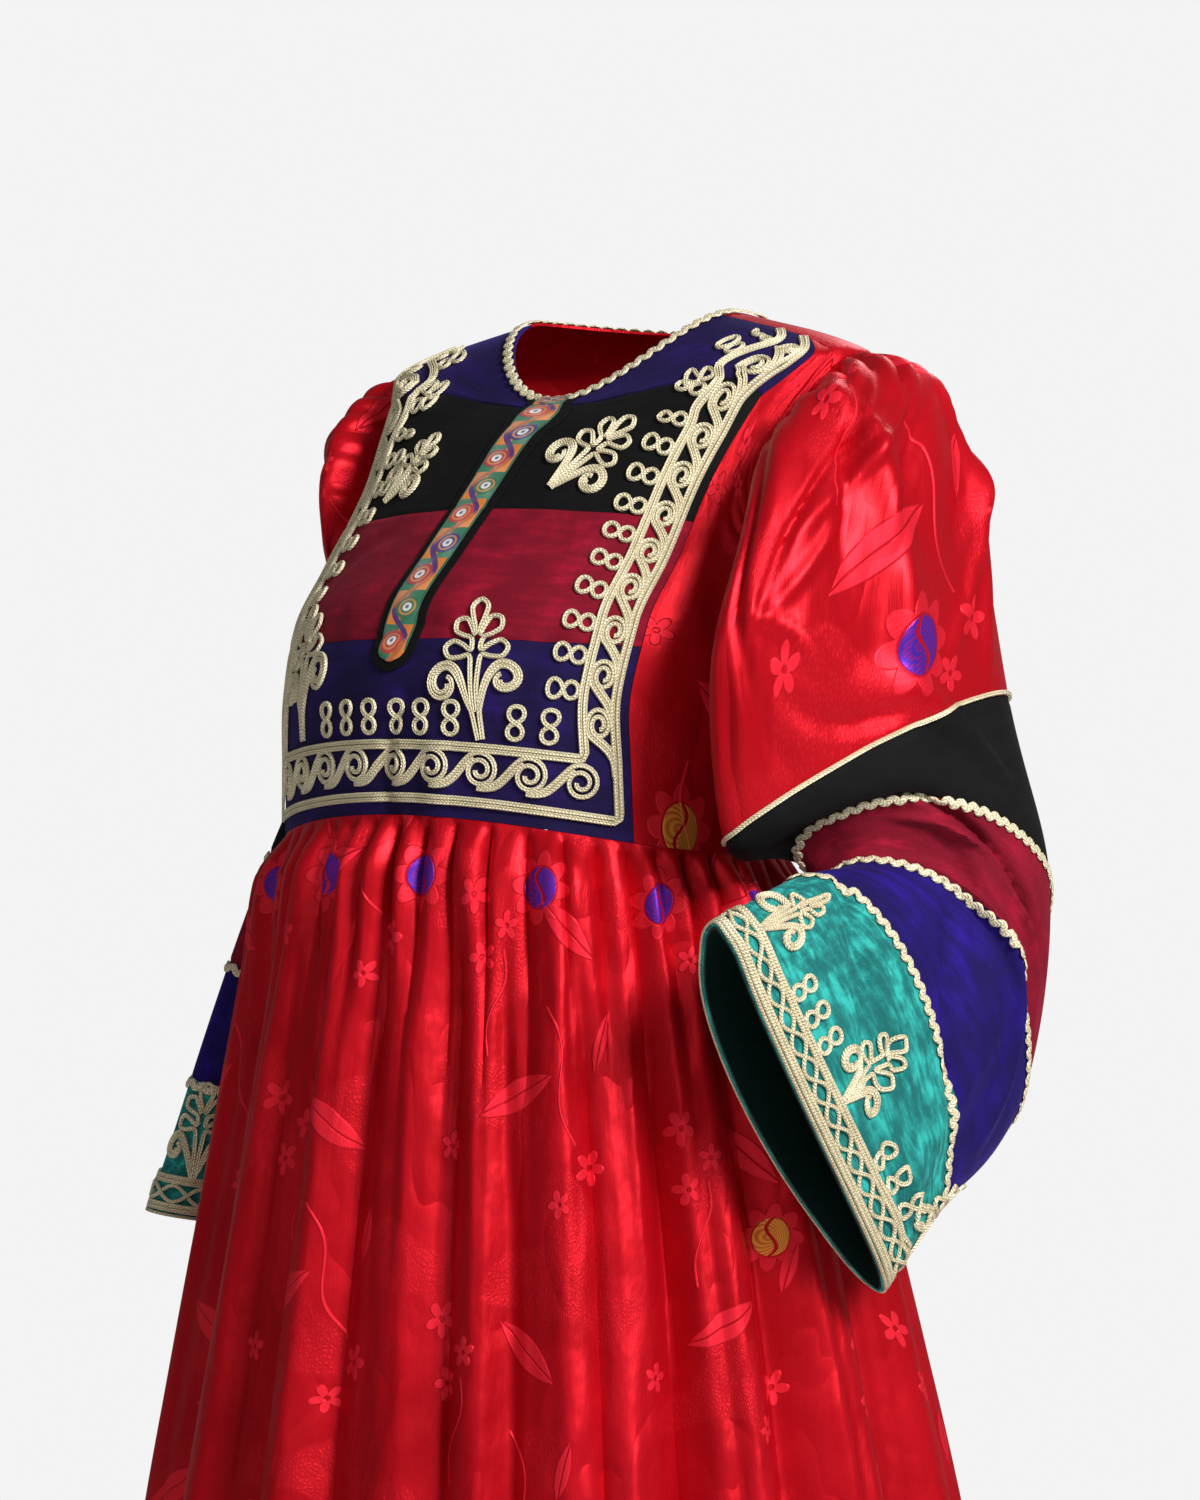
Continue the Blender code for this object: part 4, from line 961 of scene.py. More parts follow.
class Ornament:
    """Motif lines of couched braid, in metres: x along the border, y away from it."""

    @staticmethod
    def bezier(a: Sequence[float], b: Sequence[float], c: Sequence[float], d: Sequence[float],
               count: int) -> Array:
        """Cubic curve from a to d, led by b and c."""
        t = np.linspace(0.0, 1.0, count)[:, None]
        a, b, c, d = (np.array(p, dtype=float) for p in (a, b, c, d))
        return (1 - t) ** 3 * a + 3 * (1 - t) ** 2 * t * b + 3 * (1 - t) * t**2 * c + t**3 * d

    @staticmethod
    def beside(line: Array, distance: float, ease: float = 0.3) -> Array:
        """A line that leaves another and runs at a distance to its left after a share of its length."""
        way = unit(np.gradient(line, axis=0))
        apart = distance * np.clip(np.linspace(0.0, 1.0 / ease, len(line)), 0.0, 1.0)[:, None]
        return line + apart * np.stack([-way[:, 1], way[:, 0]], -1)

    # Right half of a figure of eight, from the middle of its foot to its crossing and on to the
    # middle of its top: half widths and heights
    EIGHT: ClassVar[Rows] = (
        (0.00, 0.00), (0.74, 0.07), (1.00, 0.24), (0.62, 0.41), (-0.62, 0.58), (-1.04, 0.77), (-0.76, 0.94),
    )

    @classmethod
    def eight(cls, width: float, height: float) -> Array:
        """A closed figure of two round loops, the outer one a little wider."""
        half = np.array(cls.EIGHT)
        knots = np.concatenate([half, [(0.0, 1.0)], half[:0:-1] * (-1.0, 1.0)])
        wide = cls.smooth(np.concatenate([knots[-1:], knots, knots[:2]]), 3)
        return wide[3:3 + 3 * len(knots)] * (width, height)

    @staticmethod
    def spiral(centre: Sequence[float], start: float, sweep: float, outer: float, inner: float,
               count: int, squash: float = 1.0) -> Array:
        """A spiral whose radius shrinks evenly from outer to inner over a sweep in degrees."""
        t = np.linspace(0.0, 1.0, count)
        turn = np.radians(start + sweep * t)
        radius = outer + (inner - outer) * t
        return np.stack([centre[0] + radius * np.cos(turn), centre[1] + squash * radius * np.sin(turn)], -1)

    @classmethod
    def scroll(cls, pitch: float, radius: float, squash: float) -> list[Array]:
        """One running scroll: a doubled S line from the last spiral's foot over this one, and in."""
        entry = math.radians(125.0)
        top = (radius * math.cos(entry), squash * radius * math.sin(entry))
        foot = (-pitch - 0.05 * radius, -squash * radius)
        lead = cls.bezier(foot, (foot[0] + 0.45 * pitch, foot[1] + 0.001),
                          (top[0] - 0.25 * pitch, top[1] - 0.55 * radius), top, 12)
        coil = cls.spiral((0.0, 0.0), 125.0, -660.0, radius, 0.0028, 34, squash)
        main = np.concatenate([lead[:-1], coil])
        second = cls.beside(lead, -0.0029)
        return [main, second]

    # Fingers of a palmette's crown, from its foot up: height of the root, lean from upright in
    # degrees, length, half width; metres in a motif 87 mm high
    FINGERS: ClassVar[Rows] = (
        (0.0535, 78.0, 0.0175, 0.0052),
        (0.0640, 47.0, 0.0165, 0.0050),
        (0.0700, 0.0, 0.0180, 0.0052),
    )

    @staticmethod
    def smooth(points: Array, steps: int = 5) -> Array:
        """Catmull-Rom curve through points, with a number of steps between each two."""
        p = np.concatenate([2 * points[:1] - points[1:2], points, 2 * points[-1:] - points[-2:-1]])
        t = np.arange(steps)[:, None, None] / steps
        a, b, c, d = p[:-3], p[1:-2], p[2:-1], p[3:]
        curve = 0.5 * (2 * b + (c - a) * t + (2 * a - 5 * b + 4 * c - d) * t**2
                       + (3 * b - a - 3 * c + d) * t**3)
        return np.concatenate([curve.transpose(1, 0, 2).reshape(-1, 2), points[-1:]])

    @classmethod
    def crown(cls) -> Array:
        """One cord up from the stem round five looped fingers and down again."""
        knots = []
        for root, lean, length, width in cls.FINGERS:
            way = np.array([math.sin(math.radians(lean)), math.cos(math.radians(lean))])
            side = np.array([way[1], -way[0]])
            foot = np.array([0.0035 * math.sin(math.radians(lean)), root])
            shape = np.array([(0.02, 0.36), (0.40, 0.80), (0.78, 1.0), (1.02, 0.0),
                              (0.78, -1.0), (0.40, -0.80), (0.02, -0.36)])
            knots.append(foot + shape[:, :1] * length * way + shape[:, 1:] * width * side)
        right = np.concatenate(knots)[:-3]
        stem = np.array([(0.0014, 0.017), (0.0018, 0.030), (0.0026, 0.042)])
        half = np.concatenate([stem, right])
        return cls.smooth(np.concatenate([half, half[:-1][::-1] * (-1.0, 1.0)]))

    @classmethod
    def palmette(cls, height: float, foot: float = 0.0) -> list[Array]:
        """A stem with two doubled volutes and a crown of five looped fingers.

        Args:
            height: its height in metres.
            foot: where the drawing, 88 mm high, is cut off at its foot.

        Returns:
            Its lines, from the foot at height 0.
        """
        fork = max(0.018, foot + 0.002)
        lines = [cls.crown()]
        for sign in (-1.0, 1.0):
            stem = np.linspace((0.0015 * sign, foot), (0.0024 * sign, fork), 6)
            rise = cls.bezier(stem[-1], (0.0058 * sign, 0.030), (0.0082 * sign, 0.0470),
                              (0.0185 * sign, 0.0478), 14)
            coil = cls.spiral((0.0200 * sign, 0.0358), 90.0 + 7.0 * sign, -335.0 * sign, 0.0120, 0.0042, 28)
            line = np.concatenate([stem[:-1], rise[:-1], coil])
            lines += [line, cls.beside(line[4:41], -0.0031 * sign)]
        return [(line - (0.0, foot)) * (height / (0.088 - foot)) for line in lines]


Number = Union[float, "Value"]


class Value:
    """A number socket that takes part in Python expressions."""

    def __init__(self, graph: "Graph", socket: bpy.types.NodeSocket) -> None:
        """Wrap an output socket of a graph."""
        self.graph = graph
        self.socket = socket

    def __add__(self, other: Number) -> "Value":
        """Sum."""
        return self.graph.maths("ADD", self, other)

    __radd__ = __add__

    def __mul__(self, other: Number) -> "Value":
        """Product."""
        return self.graph.maths("MULTIPLY", self, other)

    __rmul__ = __mul__

    def __sub__(self, other: Number) -> "Value":
        """Difference."""
        return self.graph.maths("SUBTRACT", self, other)

    def __rsub__(self, other: Number) -> "Value":
        """Difference from a number."""
        return self.graph.maths("SUBTRACT", other, self)

    def __truediv__(self, other: Number) -> "Value":
        """Quotient."""
        return self.graph.maths("DIVIDE", self, other)

    def __mod__(self, other: Number) -> "Value":
        """Remainder, never negative."""
        return self.graph.maths("FLOORED_MODULO", self, other)

    def __pow__(self, other: Number) -> "Value":
        """Power."""
        return self.graph.maths("POWER", self, other)

    def __abs__(self) -> "Value":
        """Size without sign."""
        return self.graph.maths("ABSOLUTE", self)


class Graph:
    """A material's node tree, with one method for maths, one for mixing and one for other nodes."""

    def __init__(self, name: str) -> None:
        """Start a material with a Principled BSDF."""
        self.material = bpy.data.materials.new(name)
        self.material.use_nodes = True
        self.tree = self.material.node_tree
        self.shader = self.tree.nodes["Principled BSDF"]

    def node(self, kind: str, settings: Optional[dict] = None,
             values: Optional[dict] = None) -> bpy.types.Node:
        """Add a node.

        Args:
            kind: the node's type.
            settings: its properties, set first.
            values: numbers, tuples, Values or sockets for its inputs, by name or number.

        Returns:
            The node.
        """
        made = self.tree.nodes.new(kind)
        for key, value in (settings or {}).items():
            setattr(made, key, value)
        for key, value in (values or {}).items():
            self.feed(made.inputs[key], value)
        return made

    def feed(self, target: bpy.types.NodeSocket, value: object) -> None:
        """Link or set one input socket."""
        if isinstance(value, Value):
            self.tree.links.new(value.socket, target)
        elif isinstance(value, bpy.types.NodeSocket):
            self.tree.links.new(value, target)
        else:
            target.default_value = value

    def maths(self, operation: str, *parts: Number) -> Value:
        """A Math node on numbers and Values."""
        made = self.node("ShaderNodeMath", {"operation": operation}, dict(enumerate(parts)))
        return Value(self, made.outputs[0])

    def clamp(self, value: Value) -> Value:
        """The value held between 0 and 1."""
        made = self.node("ShaderNodeClamp", None, {"Value": value})
        return Value(self, made.outputs[0])

    def edge(self, inside: Value, soft: float) -> Value:
        """1 where the signed distance is inside, 0 outside, with a soft border in metres."""
        return self.clamp(inside / soft + 0.5)

    def mix(self, factor: Number, a: object, b: object) -> bpy.types.NodeSocket:
        """Colour between a and b."""
        made = self.node("ShaderNodeMix", {"data_type": "RGBA"}, {0: factor, 6: a, 7: b})
        return made.outputs[2]

    def cloth_place(self) -> tuple[Value, Value]:
        """The piece's cloth coordinates in metres."""
        uv = self.node("ShaderNodeUVMap", {"uv_map": "cloth"})
        parts = self.node("ShaderNodeSeparateXYZ", None, {0: uv.outputs[0]})
        return Value(self, parts.outputs[0]), Value(self, parts.outputs[1])

    def noise(self, u: Number, v: Number, scale: float, detail: float = 2.0,
              depth: Number = 0.0) -> Value:
        """Noise from 0 to 1 at places given in metres times the scale."""
        place = self.node("ShaderNodeCombineXYZ", None, {0: u, 1: v, 2: depth})
        made = self.node("ShaderNodeTexNoise", None,
                         {"Vector": place.outputs[0], "Scale": scale, "Detail": detail, "Roughness": 0.55})
        return Value(self, made.outputs[0])

    def solid_noise(self, scale: float, detail: float = 2.0) -> Value:
        """Noise from 0 to 1 on object coordinates."""
        place = self.node("ShaderNodeTexCoord")
        made = self.node("ShaderNodeTexNoise", None,
                         {"Vector": place.outputs["Object"], "Scale": scale, "Detail": detail})
        return Value(self, made.outputs[0])

    def relief(self, height: Value, distance: float, strength: float = 1.0) -> None:
        """Feed a height to the shader's normal."""
        made = self.node("ShaderNodeBump", None,
                         {"Height": height, "Distance": distance, "Strength": strength})
        self.feed(self.shader.inputs["Normal"], made.outputs[0])

    def finish(self, colour: object, roughness: Number, **constants: object) -> bpy.types.Material:
        """Set the shader's colour, roughness and constant sockets, and give the material."""
        self.feed(self.shader.inputs["Base Color"], colour)
        self.feed(self.shader.inputs["Roughness"], roughness)
        for key, value in constants.items():
            self.shader.inputs[key.replace("_", " ")].default_value = value
        return self.material


def colour(red: float, green: float, blue: float) -> tuple[float, float, float, float]:
    """A linear colour with full alpha."""
    return (red, green, blue, 1.0)


@dataclass(frozen=True)
class Velvet:
    """Pile cloth: a dark colour with painted sheen mixed in by noise patches and streaks, a pile bump and a
    soft sheen.
    """

    name: str
    deep: tuple[float, float, float, float]
    # painted sheen: the colour of the pile's highlights, mixed in by noise
    painted_sheen_colour: tuple[float, float, float, float]
    sheen: tuple[float, float, float, float]
    sheen_weight: float
    # strength of the painted sheen patches, and of the streaks in the pile bump
    crush: float = 0.35
    patch_scale: float = 26.0

    def material(self) -> bpy.types.Material:
        """Build the velvet."""
        graph = Graph(self.name)
        u, v = graph.cloth_place()
        large = graph.noise(u * 1.6, v, self.patch_scale, 3.0)
        streak = graph.noise(u, v * 3.2, self.patch_scale * 1.7, 4.0, 3.1)
        fine = graph.noise(u, v, 900.0, 2.0)
        # Painted sheen: noise patches and streaks take the lit colour in place of the pile's highlights
        painted_sheen_patches = graph.clamp((large * 0.8 + streak * 0.8 - 0.62) * (3.4 * self.crush))
        painted_sheen_share = graph.clamp(painted_sheen_patches * painted_sheen_patches + (fine - 0.5) * 0.35)
        tone = graph.mix(painted_sheen_share, self.deep, self.painted_sheen_colour)
        graph.relief(fine * 0.35 + large * 0.9 + streak * self.crush, 0.0018, 0.55)
        return graph.finish(tone, 0.82, Sheen_Weight=self.sheen_weight, Sheen_Roughness=0.38,
                            Sheen_Tint=self.sheen, Specular_IOR_Level=0.18)


@dataclass(frozen=True)
class Leaf:
    """One motif of the damask: its kind, place in the repeat, size and turn in degrees."""

    kind: str
    x: float
    y: float
    size: float
    turn: float


@dataclass(frozen=True)
class Brocade:
    """Red satin with self-coloured flowers and leaves, patches of texture and coloured discs."""

    name: str = "satin_brocade"
    base: tuple[float, float, float, float] = colour(0.55, 0.005, 0.014)
    figure: tuple[float, float, float, float] = colour(0.80, 0.020, 0.040)
    shade: tuple[float, float, float, float] = colour(0.36, 0.002, 0.006)
    blue: tuple[float, float, float, float] = colour(0.045, 0.016, 0.30)
    gold: tuple[float, float, float, float] = colour(0.72, 0.34, 0.05)
    tile: tuple[float, float] = (0.19, 0.26)
    motifs: tuple[Leaf, ...] = (
        Leaf("flower", 0.035, 0.045, 0.0125, 10.0),
        Leaf("flower", 0.062, 0.062, 0.0100, 50.0),
        Leaf("flower", 0.045, 0.083, 0.0110, 30.0),
        Leaf("leaf", 0.112, 0.060, 0.0290, 35.0),
        Leaf("leaf", 0.085, 0.165, 0.0310, -28.0),
        Leaf("leaf", 0.150, 0.128, 0.0180, 100.0),
        Leaf("stem", 0.120, 0.150, 0.0450, 70.0),
        Leaf("stem", 0.060, 0.110, 0.0330, 95.0),
        Leaf("flower", 0.150, 0.205, 0.0120, 0.0),
        Leaf("flower", 0.128, 0.228, 0.0095, 25.0),
        Leaf("flower", 0.030, 0.200, 0.0100, 60.0),
    )

    def local(self, graph: Graph, u: Value, v: Value, leaf: Leaf) -> tuple[Value, Value]:
        """Turned coordinates about a motif's middle."""
        c, s = math.cos(math.radians(leaf.turn)), math.sin(math.radians(leaf.turn))
        dx, dy = u - leaf.x, v - leaf.y
        return dx * c + dy * s, dy * c - dx * s

    def motif(self, graph: Graph, u: Value, v: Value, leaf: Leaf) -> Value:
        """Mask of a motif: five petals by |cos 2.5a|, a leaf by 1 - (x/l) squared, or a stem."""
        x, y = self.local(graph, u, v, leaf)
        if leaf.kind == "flower":
            radius = graph.maths("SQRT", x * x + y * y)
            petal = abs(graph.maths("COSINE", graph.maths("ARCTAN2", y, x) * 2.5))
            rim = graph.edge(petal * (0.62 * leaf.size) + 0.34 * leaf.size - radius, 0.0011)
            return rim * graph.edge(radius - 0.17 * leaf.size, 0.0010)
        if leaf.kind == "leaf":
            share = x * (1.0 / leaf.size)
            body = graph.edge((1.0 - share * share) * (0.30 * leaf.size) - abs(y), 0.0011)
            return body * graph.edge(abs(y + share * share * 0.0012) - 0.0005, 0.0008)
        wave = graph.maths("SINE", x * (3.6 / leaf.size)) * (0.11 * leaf.size)
        return graph.edge(0.0008 - abs(y - wave), 0.0008) * graph.edge(leaf.size - abs(x), 0.001)

    def disc(self, graph: Graph, x: Value, y: Value, size: float) -> tuple[Value, Value, Value]:
        """A round flower: its ribbed middle split by an S line, its petals, and its ribs."""
        radius = graph.maths("SQRT", x * x + y * y)
        split = abs(x - graph.maths("SINE", y * (3.0 / size)) * (0.33 * size))
        middle = graph.edge(size - radius, 0.0009) * graph.edge(split - 0.10 * size, 0.0008)
        ribs = graph.maths("SINE", (radius + x * 0.6) * (2 * math.pi / 0.0021)) * 0.5 + 0.5
        turn = graph.maths("ARCTAN2", y, x)
        reach = abs(graph.maths("COSINE", turn * 4.0)) * (0.62 * size) + 1.18 * size
        ring = graph.edge(reach - radius, 0.0012) * graph.edge(radius - 1.08 * size, 0.0008)
        return middle, ring, ribs

    def material(self) -> bpy.types.Material:
        """Build the brocade."""
        graph = Graph(self.name)
        u, v = graph.cloth_place()
        column = graph.maths("FLOOR", u / self.tile[0])
        fu = u % self.tile[0]
        fv = (v + (column % 2.0) * (self.tile[1] / 2)) % self.tile[1]
        figure = None
        for leaf in self.motifs:
            mask = self.motif(graph, fu, fv, leaf)
            figure = mask if figure is None else graph.maths("MAXIMUM", figure, mask)
        patch = graph.edge(graph.noise(u, v, 13.0, 1.0, 7.7) - 0.565, 0.03)
        place = graph.node("ShaderNodeCombineXYZ", None, {0: u * 1.5, 1: v})
        crackle = graph.node("ShaderNodeTexVoronoi", {"feature": "DISTANCE_TO_EDGE"},
                             {"Vector": place.outputs[0], "Scale": 330.0})
        woven = Value(graph, crackle.outputs[0]) * 2.2
        close = self.disc(graph, (u + 0.021) % 0.102 - 0.051, v % 0.66 - 0.036, 0.0130)
        wide = self.disc(graph, (u + 0.105) % 0.42 - 0.21, v % 0.66 - 0.47, 0.0125)
        blue, blue_ring, blue_ribs = (graph.maths("MAXIMUM", a, b) for a, b in zip(close, wide))
        gold_x, gold_y = (u + 0.1742) % 0.84 - 0.42, v % 0.66 - 0.241
        gold, gold_ring, gold_ribs = self.disc(graph, gold_x, gold_y, 0.0120)
        rings = graph.maths("MAXIMUM", blue_ring, gold_ring)
        figured = graph.clamp(graph.maths("MAXIMUM", figure, rings) + patch * woven * 0.30)
        cloud = graph.noise(u, v, 9.0, 2.0)
        tone = graph.mix(graph.clamp(cloud * 1.4 - 0.35), self.shade, self.base)
        tone = graph.mix(figured * 0.65, tone, self.figure)
        tone = graph.mix(rings * graph.clamp(blue_ribs * 1.6 - 0.8) * 0.45, tone, self.shade)
        tone = graph.mix(blue * (blue_ribs * 0.5 + 0.5), tone, self.blue)
        tone = graph.mix(gold * (gold_ribs * 0.6 + 0.3), tone, self.gold)
        thread = graph.maths("SINE", u * (2 * math.pi / 0.00055)) * 0.5 + 0.5
        slub = graph.noise(u * 14.0, v, 60.0, 2.0)
        crinkle = graph.noise(u * 1.3, v * 0.75, 22.0, 3.0, 2.2)
        crease = abs(graph.noise(u * 1.2, v * 0.6, 15.0, 2.0, 5.5) * 2.0 - 1.0)
        raised = graph.maths("MAXIMUM", figure, graph.maths("MAXIMUM", blue, gold))
        graph.relief(raised * 0.9 + figured * 0.35 + patch * woven * 0.3 + thread * 0.05 + slub * 0.28
                     + rings * 0.5 + crinkle * 4.4 + crease * 9.0, 0.0005, 0.85)
        rough = 0.36 + figured * 0.12 + patch * 0.10 + raised * 0.05
        return graph.finish(tone, rough, Metallic=0.40, Specular_IOR_Level=0.26,
                            Specular_Tint=colour(1.0, 0.42, 0.48))


@dataclass(frozen=True)
class Metallic:
    """Champagne metallic braid with slanted strands, its colour lightened by painted glints and painted
    highlights on the strands.
    """

    name: str
    # colour of the painted glints and of the strands' crowns, partly painted highlight
    painted_glint_and_strands: tuple[float, float, float, float]
    dull: tuple[float, float, float, float]
    pitch: float

    def material(self) -> bpy.types.Material:
        """Build the braid: strands slant up to its middle groove from both edges."""
        graph = Graph(self.name)
        u, v = graph.cloth_place()
        slant = abs(u - 0.4375) * 3.2
        strand = graph.maths("SINE", (v * (1.0 / self.pitch) + slant) * (2 * math.pi)) * 0.5 + 0.5
        painted_glint_and_bump_noise = graph.solid_noise(1100.0, 1.0)
        cloud = graph.solid_noise(90.0, 3.0)
        # Painted highlight: fine glint noise and the strands' crowns, partly the strands' own pattern,
        # lighten the colour; the slow cloud is a random tone
        painted_glint_and_strands = graph.clamp(strand * 0.60 + painted_glint_and_bump_noise * 1.1 + cloud * 0.4 - 0.60)
        tone = graph.mix(painted_glint_and_strands, self.dull, self.painted_glint_and_strands)
        graph.relief(strand + painted_glint_and_bump_noise * 0.5, 0.0004, 0.8)
        return graph.finish(tone, 0.42, Metallic=0.12, Specular_IOR_Level=0.6)


@dataclass(frozen=True)
class Lining:
    """Plain dark lining with a faint sheen."""

    name: str = "dark_lining"

    def material(self) -> bpy.types.Material:
        """Build the lining."""
        graph = Graph(self.name)
        u, v = graph.cloth_place()
        cloud = graph.noise(u, v, 14.0, 2.0)
        tone = graph.mix(cloud, colour(0.0006, 0.0028, 0.0024), colour(0.003, 0.015, 0.013))
        graph.relief(graph.maths("SINE", u * (2 * math.pi / 0.0012)) * 0.1 + cloud, 0.0006, 0.5)
        return graph.finish(tone, 0.45, Sheen_Weight=0.1, Sheen_Tint=colour(0.1, 0.5, 0.4),
                            Specular_IOR_Level=0.3)


@dataclass(frozen=True)
class VineRibbon:
    """Embroidered ribbon: round flowers on alternate sides of a waving vine, with corner fills."""

    name: str = "vine_ribbon"
    pitch: float = 0.0262
    half_width: float = 0.0112

    def material(self) -> bpy.types.Material:
        """Build the ribbon: the vine is a sine of the length, the flowers are rings about its bends."""
        graph = Graph(self.name)
        u, v = graph.cloth_place()
        index = graph.maths("FLOOR", v / self.pitch)
        odd = index % 2.0
        side = odd * 2.0 - 1.0
        y = v % self.pitch - self.pitch / 2
        x = u - side * (0.22 * self.half_width)
        radius = graph.maths("SQRT", x * x + y * y)
        third = index % 4.0
        ring_one = graph.mix(odd, colour(0.55, 0.02, 0.03), colour(0.02, 0.16, 0.07))
        ring_two = graph.mix(odd, colour(0.42, 0.02, 0.05), colour(0.05, 0.03, 0.22))
        ring = graph.mix(graph.edge(third - 1.5, 0.1), ring_one, ring_two)
        fill = graph.mix(graph.edge(u * side, 0.0004), colour(0.75, 0.22, 0.02), colour(0.02, 0.19, 0.09))
        vine = abs(u - graph.maths("SINE", v * (math.pi / self.pitch)) * (0.62 * self.half_width))
        vine_tone = graph.mix(graph.edge(y * side, 0.004), colour(0.07, 0.015, 0.16),
                              colour(0.50, 0.12, 0.02))
        tone = graph.mix(graph.edge(0.0023 - vine, 0.0005), fill, vine_tone)
        tone = graph.mix(graph.edge(0.0084 - radius, 0.0005), tone, ring)
        tone = graph.mix(graph.edge(0.0007 - abs(radius - 0.0056), 0.0005), tone, colour(0.62, 0.25, 0.05))
        tone = graph.mix(graph.edge(0.0034 - radius, 0.0005), tone, colour(0.78, 0.78, 0.74))
        tone = graph.mix(graph.edge(0.0013 - radius, 0.0004), tone, colour(0.10, 0.10, 0.26))
        border = graph.edge(abs(u) - (self.half_width - 0.0011), 0.0005)
        tone = graph.mix(border, tone, colour(0.02, 0.10, 0.05))
        stitch = graph.maths("SINE", (radius + v * 0.4) * (2 * math.pi / 0.0007)) * 0.5 + 0.5
        graph.relief(stitch * 0.5 + graph.edge(0.0084 - radius, 0.001), 0.0006, 0.8)
        return graph.finish(tone, 0.5, Sheen_Weight=0.2, Specular_IOR_Level=0.45)


class Wardrobe:
    """Every finish of the dress, made once."""

    def __init__(self) -> None:
        """Build the materials by slot."""
        # colour of the cord's painted glints and painted strand highlights
        painted_glint_pale = colour(0.97, 0.88, 0.63)
        finishes = {
            Cloth.SATIN: Brocade(),
            Cloth.NAVY: Velvet("navy_velvet", colour(0.006, 0.002, 0.032), colour(0.024, 0.006, 0.15),
                               colour(0.22, 0.14, 1.0), 0.10, 0.50, 20.0),
            Cloth.BLACK: Velvet("black_velvet", colour(0.0010, 0.0010, 0.0012),
                                colour(0.005, 0.005, 0.0055), colour(0.35, 0.38, 0.42), 0.02, 0.50),
            Cloth.CRIMSON: Velvet("crimson_velvet", colour(0.15, 0.001, 0.011),
                                  colour(0.43, 0.004, 0.034), colour(1.0, 0.12, 0.22), 0.12, 0.50, 24.0),
            Cloth.BLUE: Velvet("blue_velvet", colour(0.005, 0.001, 0.060), colour(0.022, 0.004, 0.27),
                               colour(0.25, 0.15, 1.0), 0.12, 0.60, 16.0),
            Cloth.TEAL: Velvet("teal_velvet", colour(0.006, 0.11, 0.105), colour(0.026, 0.37, 0.33),
                               colour(0.30, 1.0, 0.95), 0.15, 0.85, 46.0),
            Cloth.LINING: Lining(),
            Cloth.CORD: Metallic("champagne_braid", painted_glint_pale, colour(0.34, 0.28, 0.15), 0.0022),
            Cloth.RIBBON: VineRibbon(),
        }
        self.materials = {cloth: finish.material() for cloth, finish in finishes.items()}

    def dress(self, piece: Union[MeshSheet, Braid], cloth: Cloth, nodes: Sequence[str],
              cut: Optional[Cut] = None, rests_on: Sequence[str] = ()) -> None:
        """Build a piece in its slot's material and set it on the frame.

        Args:
            piece: the sheet or braid.
            cloth: its material slot.
            nodes: the solids that it stands for.
            cut: its flat cut, for cloth.
            rests_on: what holds the cloth.
        """
        finish_piece(piece.build(self.materials[cloth]), nodes, cut, rests_on)


@dataclass(frozen=True)
class Weave:
    """Cloth coordinates of a piece: where its pattern starts, in metres."""

    across: float = 0.0
    along: float = 0.0


@dataclass(frozen=True)
class Steps:
    """Small steps of a surface's two parameters and the side its normals face."""

    u: float
    v: float
    outward: float

    def normals(self, surface: Surface, u: Array, v: Array) -> Array:
        """Outward unit normals."""
        return normals_of(surface, u, v, self.u, self.v) * self.outward


BIB_STEPS = Steps(0.01, 0.1, 1.0)
BODICE_STEPS = Steps(1.0, 0.003, 1.0)


@dataclass(frozen=True)
class BibPanel:
    """One velvet band of the bib: its name, end rows, grid rows, cloth and cut."""

    name: str
    low: float
    high: float
    rows: int
    cloth: Cloth
    cut: Cut


